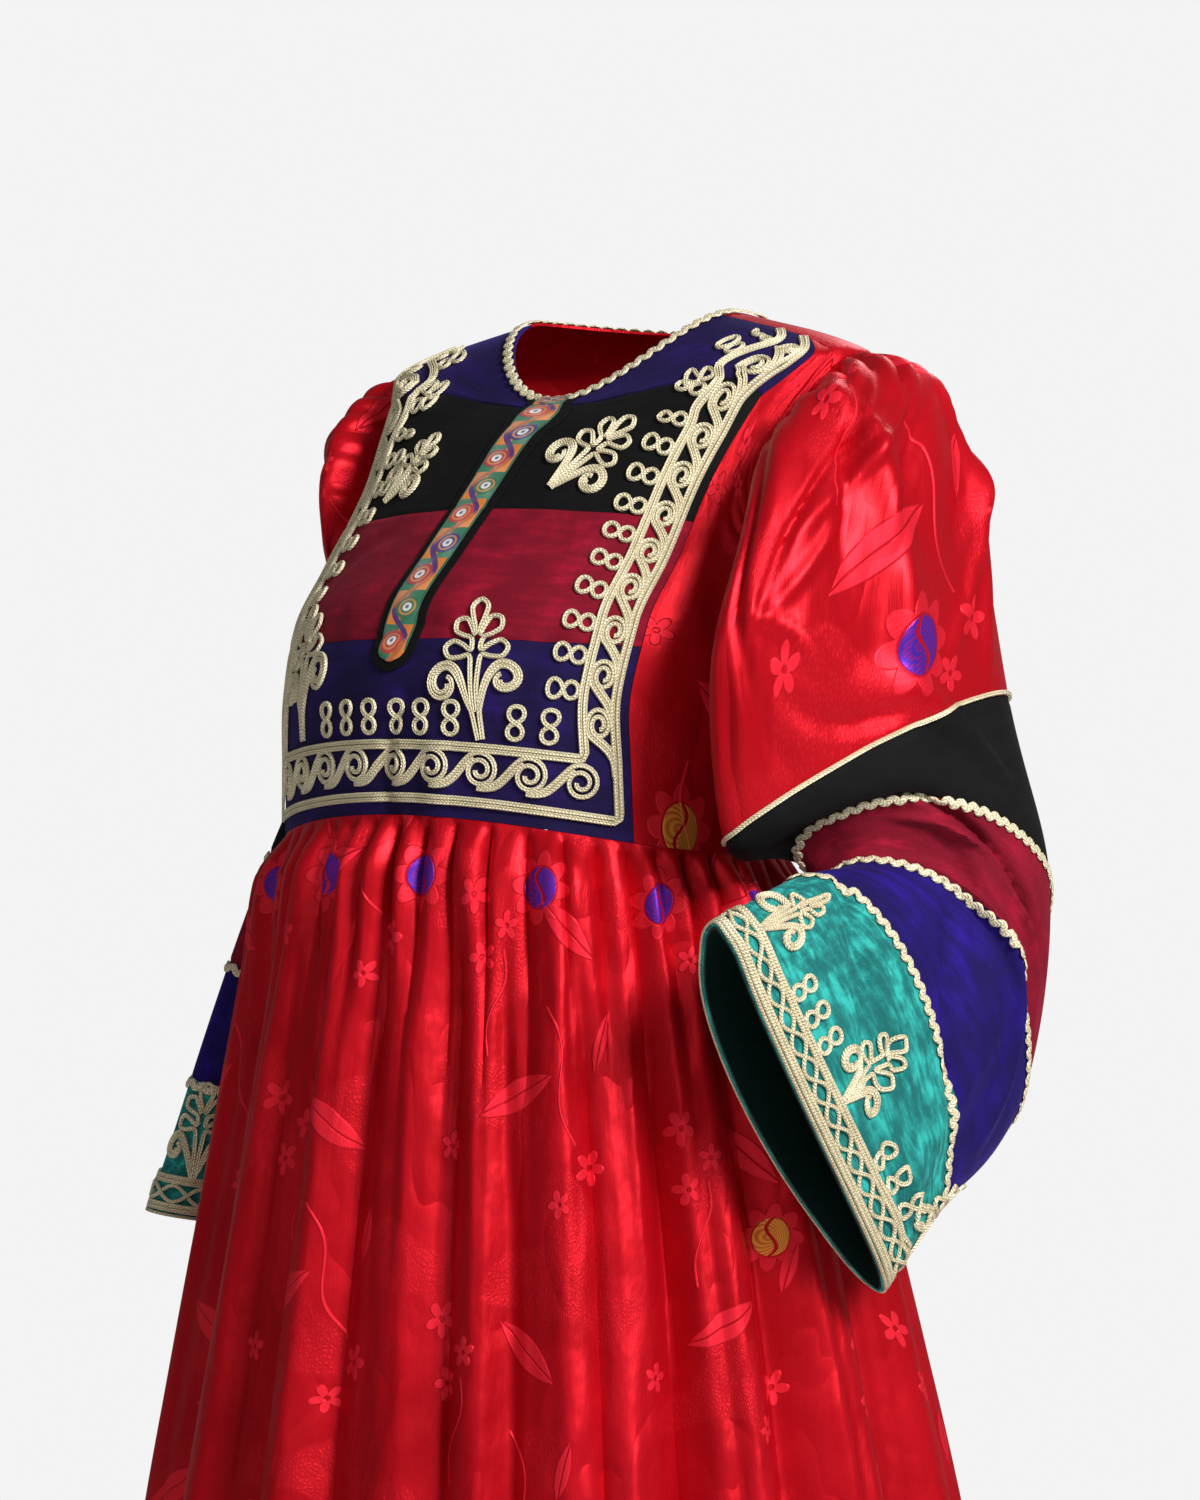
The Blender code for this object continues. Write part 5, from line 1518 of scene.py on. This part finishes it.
@dataclass
class BodiceSet:
    """Bib bands, side fronts and back."""

    wardrobe: Wardrobe
    bib: Bib = Bib()
    bodice: Bodice = Bodice()
    columns: int = 120
    # Points across and up the grids of a side front, the back and the placket
    side_grid: tuple[int, int] = (40, 100)
    back_grid: tuple[int, int] = (150, 92)
    placket_grid: tuple[int, int] = (13, 120)
    placket_top: float = 11.35
    bands: tuple[BibPanel, ...] = (
        BibPanel("bib_navy", 0.0, 3.0, 46, Cloth.NAVY, Cut(0.335, 0.130, Hold.DRAPED)),
        BibPanel("bib_crimson", 3.0, 6.0, 42, Cloth.CRIMSON, Cut(0.335, 0.105, Hold.DRAPED)),
        BibPanel("bib_black", 6.0, 9.0, 38, Cloth.BLACK, Cut(0.350, 0.095, Hold.DRAPED)),
        BibPanel("bib_yoke", 9.0, 12.0, 30, Cloth.NAVY, Cut(0.360, 0.075, Hold.DRAPED, 0.62)),
    )
    side_creases: Rows = (
        (0.040, 0.030, 0.020, 0.150, 0.011, 0.0022),
        (0.055, 0.060, 0.030, 0.215, 0.012, -0.0020),
        (0.020, 0.190, 0.060, 0.130, 0.010, 0.0018),
        (0.060, 0.000, 0.050, 0.070, 0.009, 0.0016),
        (0.015, 0.210, 0.045, 0.260, 0.010, -0.0016),
    )
    back_creases: Rows = (
        (-0.14, 0.23, -0.03, 0.13, 0.020, 0.0030),
        (0.14, 0.24, 0.05, 0.12, 0.018, 0.0026),
        (-0.11, 0.18, -0.02, 0.05, 0.022, -0.0024),
        (0.12, 0.17, 0.04, 0.03, 0.020, -0.0022),
        (-0.07, 0.29, 0.07, 0.28, 0.024, 0.0018),
        (-0.16, 0.06, -0.10, -0.01, 0.016, 0.0020),
        (0.15, 0.07, 0.09, 0.00, 0.015, 0.0022),
        (0.00, 0.10, 0.01, 0.00, 0.016, 0.0016),
    )

    def bib_bands(self) -> None:
        """The four velvet bands."""
        share = np.linspace(-1.0, 1.0, self.columns)
        for band in self.bands:
            inset = SEAM_GAP / 2 / self.bib.row_metres
            low = band.low + (inset if band.low > 0 else 0.0)
            high = band.high - (inset if band.high < BIB_TOP_ROW else 0.0)
            u, v = np.meshgrid(share, np.linspace(low, high, band.rows))
            outer = self.bib.point(u, v)
            inner = outer - CLOTH_THICKNESS * BIB_STEPS.normals(self.bib.point, u, v)
            sheet = MeshSheet(f"cloth_{band.name}", outer, inner,
                              u * self.bib.share_metres, v * self.bib.row_metres)
            self.wardrobe.dress(sheet, band.cloth, [band.name], band.cut,
                                ["cloth_side_front_left", "cloth_side_front_right"])

    def side_surface(self, side: Side) -> Surface:
        """A side front's surface: straight across from the bib's edge to the side seam and armhole.

        Args:
            side: which side.

        Returns:
            Function of a share across, 0 at the bib, and a row, 0 at the waist.
        """
        def surface(share: Array, row: Array) -> Array:
            share, row = np.broadcast_arrays(np.asarray(share, float), np.asarray(row, float))
            near_angle, near_level = self.bib.spot(np.ones_like(row), row)
            far_angle, far_level = self.bodice.side_line(row / BIB_TOP_ROW, False)
            angle = near_angle + (far_angle - near_angle) * share
            level = near_level + (far_level - near_level) * share
            u, v = share * 0.075, row * 0.028
            fade = np.clip((0.5 - np.abs(share - 0.5)) / 0.15, 0.0, 1.0)
            height = (creases(u, v, self.side_creases) + 0.0007 * ripples(u, v, 41, 0.04, 2.0)) * fade
            angle = side.value * angle
            return self.bodice.point(angle, level) + height[..., None] * self.bodice.normal(angle, level)
        return surface

    def side_fronts(self) -> None:
        """The two satin side fronts."""
        for side in Side:
            surface = self.side_surface(side)
            across, up = self.side_grid
            share, row = np.meshgrid(np.linspace(0.004, 0.996, across),
                                     np.linspace(0.0, BIB_TOP_ROW - 0.01, up))
            steps = Steps(0.02, 0.05, side.value)
            outer = surface(share, row)
            inner = outer - CLOTH_THICKNESS * steps.normals(surface, share, row)
            sheet = MeshSheet(f"cloth_side_front_{side.word}", outer, inner,
                              share * 0.085 + 0.2152, row * 0.0285 + 0.232)
            self.wardrobe.dress(sheet, Cloth.SATIN, [f"side_front_{side.word}"],
                                Cut(0.100, 0.350, Hold.DRAPED, 0.70), ["cloth_bodice_back"])

    def back_spot(self, share: Array, rise: Array) -> tuple[Array, Array]:
        """Angle and level on the back: rows run from side line to side line, straight in the middle.

        Args:
            share: -1 to 1 from the left side to the right.
            rise: 0 at the waist to 1 at the neck.

        Returns:
            Angle and level.
        """
        turn_up = 0.9
        edge_angle, edge_level = self.bodice.side_line(np.clip(rise / turn_up, 0.0, 1.0), True)
        on_seam = np.clip((rise - turn_up) / (1.0 - turn_up), 0.0, 1.0)
        edge_level = edge_level + (1.0 - edge_level) * on_seam
        middle = 1.0 - (1.0 - rise) ** 1.12
        level = middle + (edge_level - middle) * np.abs(share) ** 6
        return 180.0 + share * (180.0 - edge_angle), level

    def back_surface(self, share: Array, rise: Array) -> Array:
        """Points of the back, with soft creases away from its edges."""
        share, rise = np.broadcast_arrays(np.asarray(share, float), np.asarray(rise, float))
        angle, level = self.back_spot(share, rise)
        u, v = share * 0.2, rise * 0.34
        fade = np.clip((1.0 - np.abs(share)) / 0.12, 0.0, 1.0) * np.clip((1.0 - rise) / 0.12, 0.0, 1.0)
        height = (creases(u, v, self.back_creases) + 0.0009 * ripples(u, v, 43, 0.06, 2.0)) * fade
        return self.bodice.point(angle, level) + height[..., None] * self.bodice.normal(angle, level)

    def back(self) -> None:
        """The satin back with its shoulder strips."""
        across, up = self.back_grid
        share, rise = np.meshgrid(np.linspace(-0.999, 0.999, across), np.linspace(0.0, 1.0, up))
        outer = self.back_surface(share, rise)
        angle, level = self.back_spot(share, rise)
        inner = outer - CLOTH_THICKNESS * self.bodice.normal(angle, level)
        sheet = MeshSheet("cloth_bodice_back", outer, inner, share * 0.22 + 0.4, rise * 0.36 + 0.30)
        self.wardrobe.dress(sheet, Cloth.SATIN, ["bodice_back"],
                            Cut(0.500, 0.370, Hold.DRAPED, 0.86), ["shoulder_carry"])

    def placket(self) -> None:
        """The black border and the vine ribbon down the centre front."""
        for name, half, end, low, height, cloth in (
                ("placket_border", 0.0166, 2.42, 0.0004, 0.0014, Cloth.BLACK),
                ("placket_ribbon", 0.0112, 2.58, 0.0018, 0.0011, Cloth.RIBBON)):
            across, row = np.meshgrid(np.linspace(-1.0, 1.0, self.placket_grid[0]),
                                      np.linspace(self.placket_top, end, self.placket_grid[1]))
            left_over = np.clip((row - end) * self.bib.row_metres / half, 0.0, 1.0)
            width = half * np.sqrt(1.0 - (1.0 - left_over) ** 2 * 0.98)
            place = across * width
            share = place / self.bib.share_metres - 0.028 * np.clip((6.0 - row) / 3.5, 0.0, 1.0)
            normal = BIB_STEPS.normals(self.bib.point, share, row)
            base = self.bib.point(share, row)
            rounding = 0.0005 * (1.0 - across**4)[..., None]
            sheet = MeshSheet(f"cloth_{name}", base + normal * (low + height - 0.0005 + rounding),
                              base + normal * low, place, (row - end) * self.bib.row_metres)
            self.wardrobe.dress(sheet, cloth, [name], Cut(2 * half, 0.270, Hold.DRAPED),
                                ["cloth_bib_black", "cloth_bib_crimson"])

    def build(self) -> None:
        """Build the bodice."""
        self.bib_bands()
        self.side_fronts()
        self.back()
        self.placket()


@dataclass
class SkirtSet:
    """The skirt's front and back."""

    wardrobe: Wardrobe
    skirt: Skirt = Skirt()
    columns: int = 290
    rows: int = 128
    waist_cloth: float = 1.35
    spread_cloth: float = 1.30
    least_slant: float = 0.45

    def build(self) -> None:
        """Build both halves, the inner side moved in along the radius."""
        drop = np.linspace(0.0, 1.0, self.rows) ** 1.45
        for name, start, weave in (("front", -90.0, 0.7), ("back", 90.0, 0.8)):
            angles = np.linspace(start + 0.03, start + 179.97, self.columns)
            angle, down = np.meshgrid(angles, drop)
            outer = self.skirt.point(angle, down)
            turn = np.radians(angle)
            away = np.stack([np.sin(turn), -np.cos(turn), np.zeros_like(turn)], -1)
            across = np.gradient(outer, axis=1)
            face = unit(np.stack([across[..., 1], -across[..., 0], np.zeros_like(turn)], -1))
            slant = np.clip(np.abs((face * away).sum(-1)), self.least_slant, 1.0)[..., None]
            width = self.waist_cloth + self.spread_cloth * down**0.8
            middle = start + 90.0
            sheet = MeshSheet(f"cloth_skirt_{name}", outer, outer - CLOTH_THICKNESS / slant * away,
                              (angle - middle) / 360.0 * width + weave, down * self.skirt.drop_length)
            nodes = [f"skirt_{name}_{side.word}" for side in Side]
            self.wardrobe.dress(sheet, Cloth.SATIN, nodes, Cut(1.200, 0.950, Hold.GATHERED),
                                ["cloth_bib_navy", "cloth_bodice_back"])


@dataclass
class SleeveSet:
    """One sleeve: its five cloth tubes, cuff lining, piping, rickrack and cuff braid."""

    form: SleeveForm
    wardrobe: Wardrobe
    weave: Weave
    palmettes: tuple[float, ...]
    columns: int = 144
    # Points round and along the lining, round a ring, its rails and its rim, and in one plait wave
    lining_grid: tuple[int, int] = (112, 24)
    ring_points: int = 361
    rail_points: int = 210
    rim_points: int = 240
    plait_points: int = 14

    @property
    def steps(self) -> Steps:
        """Steps of the sleeve's surface, its normals outwards."""
        return Steps(1.0, 0.004, -float(self.form.side.value))

    def tube(self, piece: SleevePiece, columns: int, rows: int, depth: float,
             thick: float) -> tuple[Array, ...]:
        """Grids of a tube: outer and inner points and cloth coordinates.

        Args:
            piece: the stretch of the sleeve.
            columns: points round it.
            rows: points along it.
            depth: how far under the sleeve's surface its outer side lies.
            thick: its thickness.

        Returns:
            Outer points, inner points, cloth_u, cloth_v.
        """
        inset = SEAM_GAP / 2 / self.form.length
        low = piece.start + (inset if piece.start > 0 else 0.5 * inset)
        high = piece.end - (inset if piece.end < 1.0 else 0.0)
        turns = np.arange(columns) * 360.0 / columns
        turn, along = np.meshgrid(turns, np.linspace(low, high, rows))
        points = self.form.point(turn, along)
        normal = self.steps.normals(self.form.point, turn, along)
        wide_turn, wide_along = np.meshgrid(np.append(turns, 360.0), along[:, 0])
        u, v = self.form.cloth(wide_turn, wide_along)
        outer = points - normal * depth
        return outer, outer - normal * thick, u + self.weave.across, v + self.weave.along

    def cloth_tubes(self) -> None:
        """The satin sleeve, three velvet bands, the cuff and its lining."""
        word = self.form.side.word
        cuts = (Cut(0.520, 0.225, Hold.GATHERED), Cut(0.500, 0.080, Hold.HUNG),
                Cut(0.500, 0.080, Hold.HUNG), Cut(0.510, 0.088, Hold.HUNG), Cut(0.530, 0.106, Hold.HUNG))
        above = "cloth_bodice_back"
        for piece, cut in zip(SLEEVE_PIECES, cuts):
            grids = self.tube(piece, self.columns, piece.rows, 0.0, CLOTH_THICKNESS)
            sheet = MeshSheet(f"cloth_{piece.name}_{word}", *grids, around=True)
            self.wardrobe.dress(sheet, piece.cloth, [f"{piece.name}_{word}"], cut, [above])
            above = f"cloth_{piece.name}_{word}"
        grids = self.tube(SLEEVE_PIECES[-1], *self.lining_grid, CLOTH_THICKNESS + LINING_GAP,
                          LINING_THICKNESS)
        sheet = MeshSheet(f"cloth_cuff_lining_{word}", *grids, around=True)
        self.wardrobe.dress(sheet, Cloth.LINING, [f"cuff_lining_{word}"],
                            Cut(0.530, 0.106, Hold.HUNG), [f"cloth_cuff_{word}"])

    def ring(self, along: float) -> Track:
        """A closed track round the sleeve whose left side points to the shoulder."""
        turns = np.linspace(0.0, 360.0, self.ring_points) * self.form.side.value
        line = np.stack([turns, np.full_like(turns, along)], -1)
        return Track(self.form.point, line, self.steps.outward, (self.steps.u, self.steps.v), True)

    def trims(self) -> None:
        """Piping over the first seam and rickrack under the next three."""
        word = self.form.side.word
        piping = Braid(f"piping_{word}_cord", 0.0030, 0.0022)
        track = self.ring(SLEEVE_PIECES[0].end - 0.0026)
        run = np.arange(0.0, track.length, 0.003)
        piping.follow(track, run, np.zeros_like(run), 0.0006, closed=True)
        self.wardrobe.dress(piping, Cloth.CORD, [f"piping_{word}"])
        rickrack = Rickrack(f"rickrack_{word}_braid")
        for piece in SLEEVE_PIECES[1:4]:
            rickrack.follow(self.ring(piece.end + 0.0065), CORD_LIFT)
        nodes = [f"rickrack_{number}_{word}" for number in (1, 2, 3)]
        self.wardrobe.dress(rickrack.braid, Cloth.CORD, nodes)

    def cuff_braid(self) -> None:
        """Edge rail, plaited border, inner rail, palmettes and loops round the cuff."""
        word = self.form.side.word
        braid = Braid(f"soutache_cuff_{word}", 0.0030, 0.0017)
        track = self.ring(1.0)
        run = np.linspace(0.0, track.length, self.rail_points)[:-1]
        rails = [np.stack([run, np.full_like(run, left)], -1)
                 for left in (0.0044, 0.0074, 0.0232, 0.0262)]
        braid.follow_all(track, rails, 0.0006, closed=True)
        waves = round(track.length / 0.036)
        fine = np.linspace(0.0, track.length, waves * self.plait_points + 1)[:-1]
        for phase, lift in ((0.0, 0.0006), (math.pi, 0.0014)):
            wave = 0.0153 + 0.0054 * np.sin(2 * np.pi * waves * fine / track.length + phase)
            braid.follow(track, fine, wave, lift, closed=True, scale=0.85)
        rim = np.linspace(0.0, track.length, self.rim_points)[:-1]
        braid.follow(track, rim, np.full_like(rim, 0.0008), 0.0004, closed=True, scale=0.7)
        spacing = track.length / len(self.palmettes)
        motifs, loops = [], []
        for start in self.palmettes:
            motifs += [line + (start, 0.0275) for line in Ornament.palmette(0.063, 0.014)]
            loops += [Ornament.eight(0.0048, 0.020) + (start + spacing * share, 0.0280)
                      for share in (0.36, 0.50, 0.64)]
        braid.follow_all(track, motifs, CORD_LIFT)
        braid.follow_all(track, loops, CORD_LIFT, closed=True)
        self.wardrobe.dress(braid, Cloth.CORD, [f"cuff_rail_edge_{word}"])

    def build(self) -> None:
        """Build the sleeve."""
        self.cloth_tubes()
        self.trims()
        self.cuff_braid()


class Rickrack:
    """Zigzag braid: a sine along a track."""

    WAVE_POINTS: ClassVar[int] = 10

    def __init__(self, name: str, period: float = 0.0092, swing: float = 0.0016) -> None:
        """Start an empty rickrack."""
        self.braid = Braid(name, 0.0047, 0.0014)
        self.period = period
        self.swing = swing

    def follow(self, track: Track, lift: float) -> None:
        """Lay the rickrack once along a closed track."""
        waves = round(track.length / self.period)
        along = np.linspace(0.0, track.length, waves * self.WAVE_POINTS + 1)[:-1]
        wave = self.swing * np.sin(2 * np.pi * waves * along / track.length)
        self.braid.follow(track, along, wave, lift, closed=True)


@dataclass
class BibBraid:
    """The bib's soutache: double rails, scrolls, loops and palmettes, and the neck's rickrack."""

    wardrobe: Wardrobe
    bib: Bib = Bib()
    # Distance from the bib's side edges in metres and row at the bottom
    outer: tuple[float, float] = (0.0085, 0.29)
    inner: tuple[float, float] = (0.0284, 1.19)
    top_row: float = 11.7
    # Points down a side, round a corner, along a foot and round the neck
    side_points: int = 90
    corner_points: int = 6
    foot_points: int = 84
    neck_points: int = 181
    # Palmettes: share and row of the foot, share and row of the tip, cut off the drawing's foot
    palmettes: Rows = (
        (0.400, 1.33, 0.314, 3.85, 0.0),
        (-0.560, 1.37, -0.680, 3.90, 0.0),
        (0.310, 6.55, 0.455, 8.25, 0.014),
        (-0.590, 6.45, -0.405, 8.05, 0.014),
    )

    def edge_share(self, distance: float, row: Array) -> Array:
        """Share at a distance in metres inside the bib's side edge."""
        near, far = (self.bib.bodice.point(*self.bib.spot(np.full_like(row, share), row))
                     for share in (0.98, 0.84))
        return 1.0 - distance * 0.14 / np.linalg.norm(near - far, axis=-1)

    def side_line(self, distance: float, low: float, sign: float) -> Array:
        """Share and row at a distance inside a side edge: down on the right side, up on the left."""
        row = np.linspace(self.top_row, low, self.side_points)
        share = self.edge_share(distance, row)
        ends = np.concatenate([np.repeat(share[0], 5), share, np.repeat(share[-1], 5)])
        line = np.stack([sign * np.convolve(ends, np.ones(11) / 11, "valid"), row], -1)
        return line if sign < 0 else line[::-1]

    def rail_line(self, distance: float, row: float, radius: float = 0.0035) -> Array:
        """Share and row along a rail: down one side, round two corners and up the other side."""
        ds, dr = radius / self.bib.share_metres, radius / self.bib.row_metres
        turn = np.linspace(0.0, np.pi / 2, self.corner_points)
        left = self.side_line(distance, row + dr, -1.0)
        share = -left[-1, 0]
        corner = np.stack([-share + ds - ds * np.cos(turn), row + dr - dr * np.sin(turn)], -1)
        foot = np.linspace(-share + ds, share - ds, self.foot_points)
        middle = np.stack([foot, np.full_like(foot, row)], -1)
        far = corner[::-1] * (-1.0, 1.0)
        return np.concatenate([left, corner[1:-1], middle, far[1:-1], left[::-1] * (-1.0, 1.0)])

    def track(self, line: Array) -> Track:
        """A track on the bib."""
        return Track(self.bib.point, line, BIB_STEPS.outward, (BIB_STEPS.u, BIB_STEPS.v))

    def straight(self, a: Sequence[float], b: Sequence[float], count: int = 60) -> Track:
        """A track straight between two places given as share and row."""
        t = np.linspace(0.0, 1.0, count)[:, None]
        return self.track(np.array(a) + (np.array(b) - np.array(a)) * t)

    def rails(self) -> Braid:
        """Two double rails."""
        braid = Braid("soutache_rails", 0.0030, 0.0018)
        for share, row in (self.outer, self.inner):
            track = self.track(self.rail_line(share, row))
            run = track.part(0.0, track.length, 0.0035)
            for left in (-0.0016, 0.0016):
                braid.follow(track, run, np.full_like(run, left), CORD_LIFT)
        return braid

    def border(self) -> Braid:
        """Running scrolls between the rails and loops inside them."""
        braid = Braid("soutache_border", 0.0030, 0.0017)
        (so, _), (si, ri) = self.outer, self.inner
        ends = [self.side_points - 1, -self.side_points]
        foot, inside = (self.rail_line(*rail)[ends] for rail in (self.outer, self.inner))
        bottom = self.straight(foot[0], foot[1])
        self.run_scrolls(braid, bottom, 0.0335, 0.0114, 1.0, 0.0165, (0.016, 0.010))
        self.run_loops(braid, self.straight(inside[0], inside[1]), 0.0208, 0.0205, (0.020, 0.012))
        for sign in (-1.0, 1.0):
            track = self.track(self.side_line(so, ri, sign))
            self.run_scrolls(braid, track, 0.028, 0.0100, 0.78, 0.0098, (0.010, 0.008))
            track = self.track(self.side_line(si, ri, sign))
            self.run_loops(braid, track, 0.0215, 0.0190, (0.012, 0.031) if sign < 0 else (0.031, 0.012))
        return braid

    def run_scrolls(self, braid: Braid, track: Track, pitch: float, radius: float, squash: float,
                    middle: float, ends: tuple[float, float]) -> None:
        """Lay running scrolls along a track at an even pitch near the given one."""
        room = track.length - sum(ends)
        count = max(1, round(room / pitch))
        scroll = Ornament.scroll(room / count, radius, squash)
        places = ends[0] + room * (np.arange(count) + 0.5) / count
        braid.follow_all(track, [line + (place, middle) for place in places for line in scroll],
                         CORD_LIFT)

    def run_loops(self, braid: Braid, track: Track, pitch: float, height: float,
                  ends: tuple[float, float]) -> None:
        """Lay figures of eight along a track, but not over the lower palmettes."""
        room = track.length - sum(ends)
        count = max(1, round(room / pitch))
        taken = [(share + 1.0) / 2.0 for share, row, _, _, _ in self.palmettes if row < 3.0]
        flat = abs(float(track.line[0, 1] - track.line[-1, 1])) < 1e-6
        places = ends[0] + room * (np.arange(count) + 0.5) / count
        where = (np.interp(places, track.run, track.line[:, 0]) + 1.0) / 2.0
        if flat:
            places = places[np.abs(where[:, None] - taken).min(-1) >= 0.045]
        braid.follow_all(track, [Ornament.eight(0.0048, height) + (place, 0.0036) for place in places],
                         CORD_LIFT, closed=True)

    def motifs(self) -> Braid:
        """The palmettes, large ones on the lower band and small ones on the black band."""
        braid = Braid("soutache_palmettes", 0.0031, 0.0018)
        for share, row, tip_share, tip_row, foot in self.palmettes:
            track = self.straight((share, row), (tip_share, tip_row), 30)
            lines = [line[:, ::-1] * (1.0, -1.0) for line in Ornament.palmette(track.length, foot)]
            braid.follow_all(track, lines, CORD_LIFT)
        return braid

    def neck(self) -> Braid:
        """Rickrack on the cloth round the neckline."""
        angle = np.linspace(0.0, 360.0, self.neck_points)
        point = self.bib.bodice.point
        near, below = (point(angle, np.full_like(angle, level)) for level in (0.99, 0.98))
        slope = np.linalg.norm(near - below, axis=-1) / 0.01
        line = np.stack([angle, 1.0 - 0.0040 / slope], -1)
        rickrack = Rickrack("neck_rickrack_braid")
        track = Track(point, line, BODICE_STEPS.outward, (BODICE_STEPS.u, BODICE_STEPS.v), True)
        rickrack.follow(track, 0.0012)
        return rickrack.braid

    def build(self) -> None:
        """Build the bib's braid in four pieces."""
        for braid, nodes in ((self.rails(), ["rail_outer", "rail_inner"]), (self.border(), []),
                             (self.motifs(), []), (self.neck(), ["neck_rickrack"])):
            self.wardrobe.dress(braid, Cloth.CORD, nodes)


@dataclass(frozen=True)
class Lamp:
    """A square soft light: name, place, target, size, power and colour."""

    name: str
    place: tuple[float, float, float]
    target: tuple[float, float, float]
    size: float
    power: float
    tint: tuple[float, float, float] = (1.0, 1.0, 1.0)

    def build(self) -> None:
        """Add the lamp to the scene."""
        data = bpy.data.lights.new(self.name, "AREA")
        data.energy, data.size, data.color = self.power, self.size, self.tint
        item = bpy.data.objects.new(self.name, data)
        item.location = self.place
        way = Vector(self.target) - Vector(self.place)
        item.rotation_euler = way.to_track_quat("-Z", "Y").to_euler()
        bpy.context.scene.collection.objects.link(item)


@dataclass(frozen=True)
class Studio:
    """Pale studio: camera at the photo's angle, soft lamps, an even world and a pale floor."""

    azimuth: float = 40.0
    camera_place: tuple[float, float, float] = (2.4885, -3.003, -0.281)
    lens: float = 144.0
    backdrop: float = 0.90
    ambient: float = 0.20
    floor_level: float = -1.40
    floor_half: float = 2.6
    lamps: tuple[Lamp, ...] = (
        Lamp("key", (2.8, -0.7, 1.3), (0.05, -0.05, -0.35), 0.9, 150.0),
        Lamp("front", (1.0, -3.2, 0.9), (0.0, 0.0, -0.45), 1.6, 15.0),
        Lamp("back", (-1.0, 3.0, 1.8), (0.0, 0.0, -0.4), 1.2, 24.0),
    )

    def build(self) -> None:
        """Build the studio."""
        bpy.context.scene.view_settings.view_transform = "Standard"
        self.camera()
        self.world()
        self.floor()
        for lamp in self.lamps:
            lamp.build()

    def camera(self) -> None:
        """A level camera that frames the dress from its left front, as in the photo."""
        data = bpy.data.cameras.new("camera")
        data.sensor_fit, data.sensor_height, data.lens = "VERTICAL", 36.0, self.lens
        item = bpy.data.objects.new("camera", data)
        item.location = self.camera_place
        item.rotation_euler = (math.pi / 2, 0.0, math.radians(self.azimuth))
        bpy.context.scene.collection.objects.link(item)
        bpy.context.scene.camera = item

    def world(self) -> None:
        """An even pale backdrop that lights the dress more dimly than it looks."""
        world = bpy.data.worlds.new("studio")
        world.use_nodes = True
        tree = world.node_tree
        seen, dim = tree.nodes["Background"], tree.nodes.new("ShaderNodeBackground")
        seen.inputs[0].default_value = (self.backdrop,) * 3 + (1.0,)
        dim.inputs[0].default_value = (self.ambient,) * 3 + (1.0,)
        path, mix = tree.nodes.new("ShaderNodeLightPath"), tree.nodes.new("ShaderNodeMixShader")
        tree.links.new(path.outputs["Is Camera Ray"], mix.inputs[0])
        tree.links.new(dim.outputs[0], mix.inputs[1])
        tree.links.new(seen.outputs[0], mix.inputs[2])
        tree.links.new(mix.outputs[0], tree.nodes["World Output"].inputs[0])
        bpy.context.scene.world = world

    def floor(self) -> None:
        """A pale square floor under the dress."""
        h, z = self.floor_half, self.floor_level
        mesh = bpy.data.meshes.new("floor")
        mesh.from_pydata([(-h, -h, z), (h, -h, z), (h, h, z), (-h, h, z)], [], [(0, 1, 2, 3)])
        material = bpy.data.materials.new("floor")
        material.use_nodes = True
        shader = material.node_tree.nodes["Principled BSDF"]
        shader.inputs["Base Color"].default_value = (0.82, 0.82, 0.82, 1.0)
        shader.inputs["Roughness"].default_value = 0.9
        mesh.materials.append(material)
        item = bpy.data.objects.new("floor", mesh)
        bpy.context.scene.collection.objects.link(item)


def main() -> None:
    """Build the dress and the studio, and log each piece."""
    logging.basicConfig(level=logging.INFO, format="%(name)s: %(message)s")
    wardrobe = Wardrobe()
    BodiceSet(wardrobe).build()
    SkirtSet(wardrobe).build()
    left = SleeveForm(Side.LEFT, LEFT_RINGS, LEFT_DRAPES, LEFT_FOLDS)
    right = SleeveForm(Side.RIGHT, RIGHT_RINGS, RIGHT_DRAPES, RIGHT_FOLDS)
    SleeveSet(left, wardrobe, Weave(-0.029, 0.29), (0.02, 0.15, 0.28, 0.41)).build()
    SleeveSet(right, wardrobe, Weave(0.20, 0.29), (0.02, 0.15, 0.28, 0.41)).build()
    BibBraid(wardrobe).build()
    Studio().build()
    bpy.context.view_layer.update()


if __name__ == "__main__":
    main()
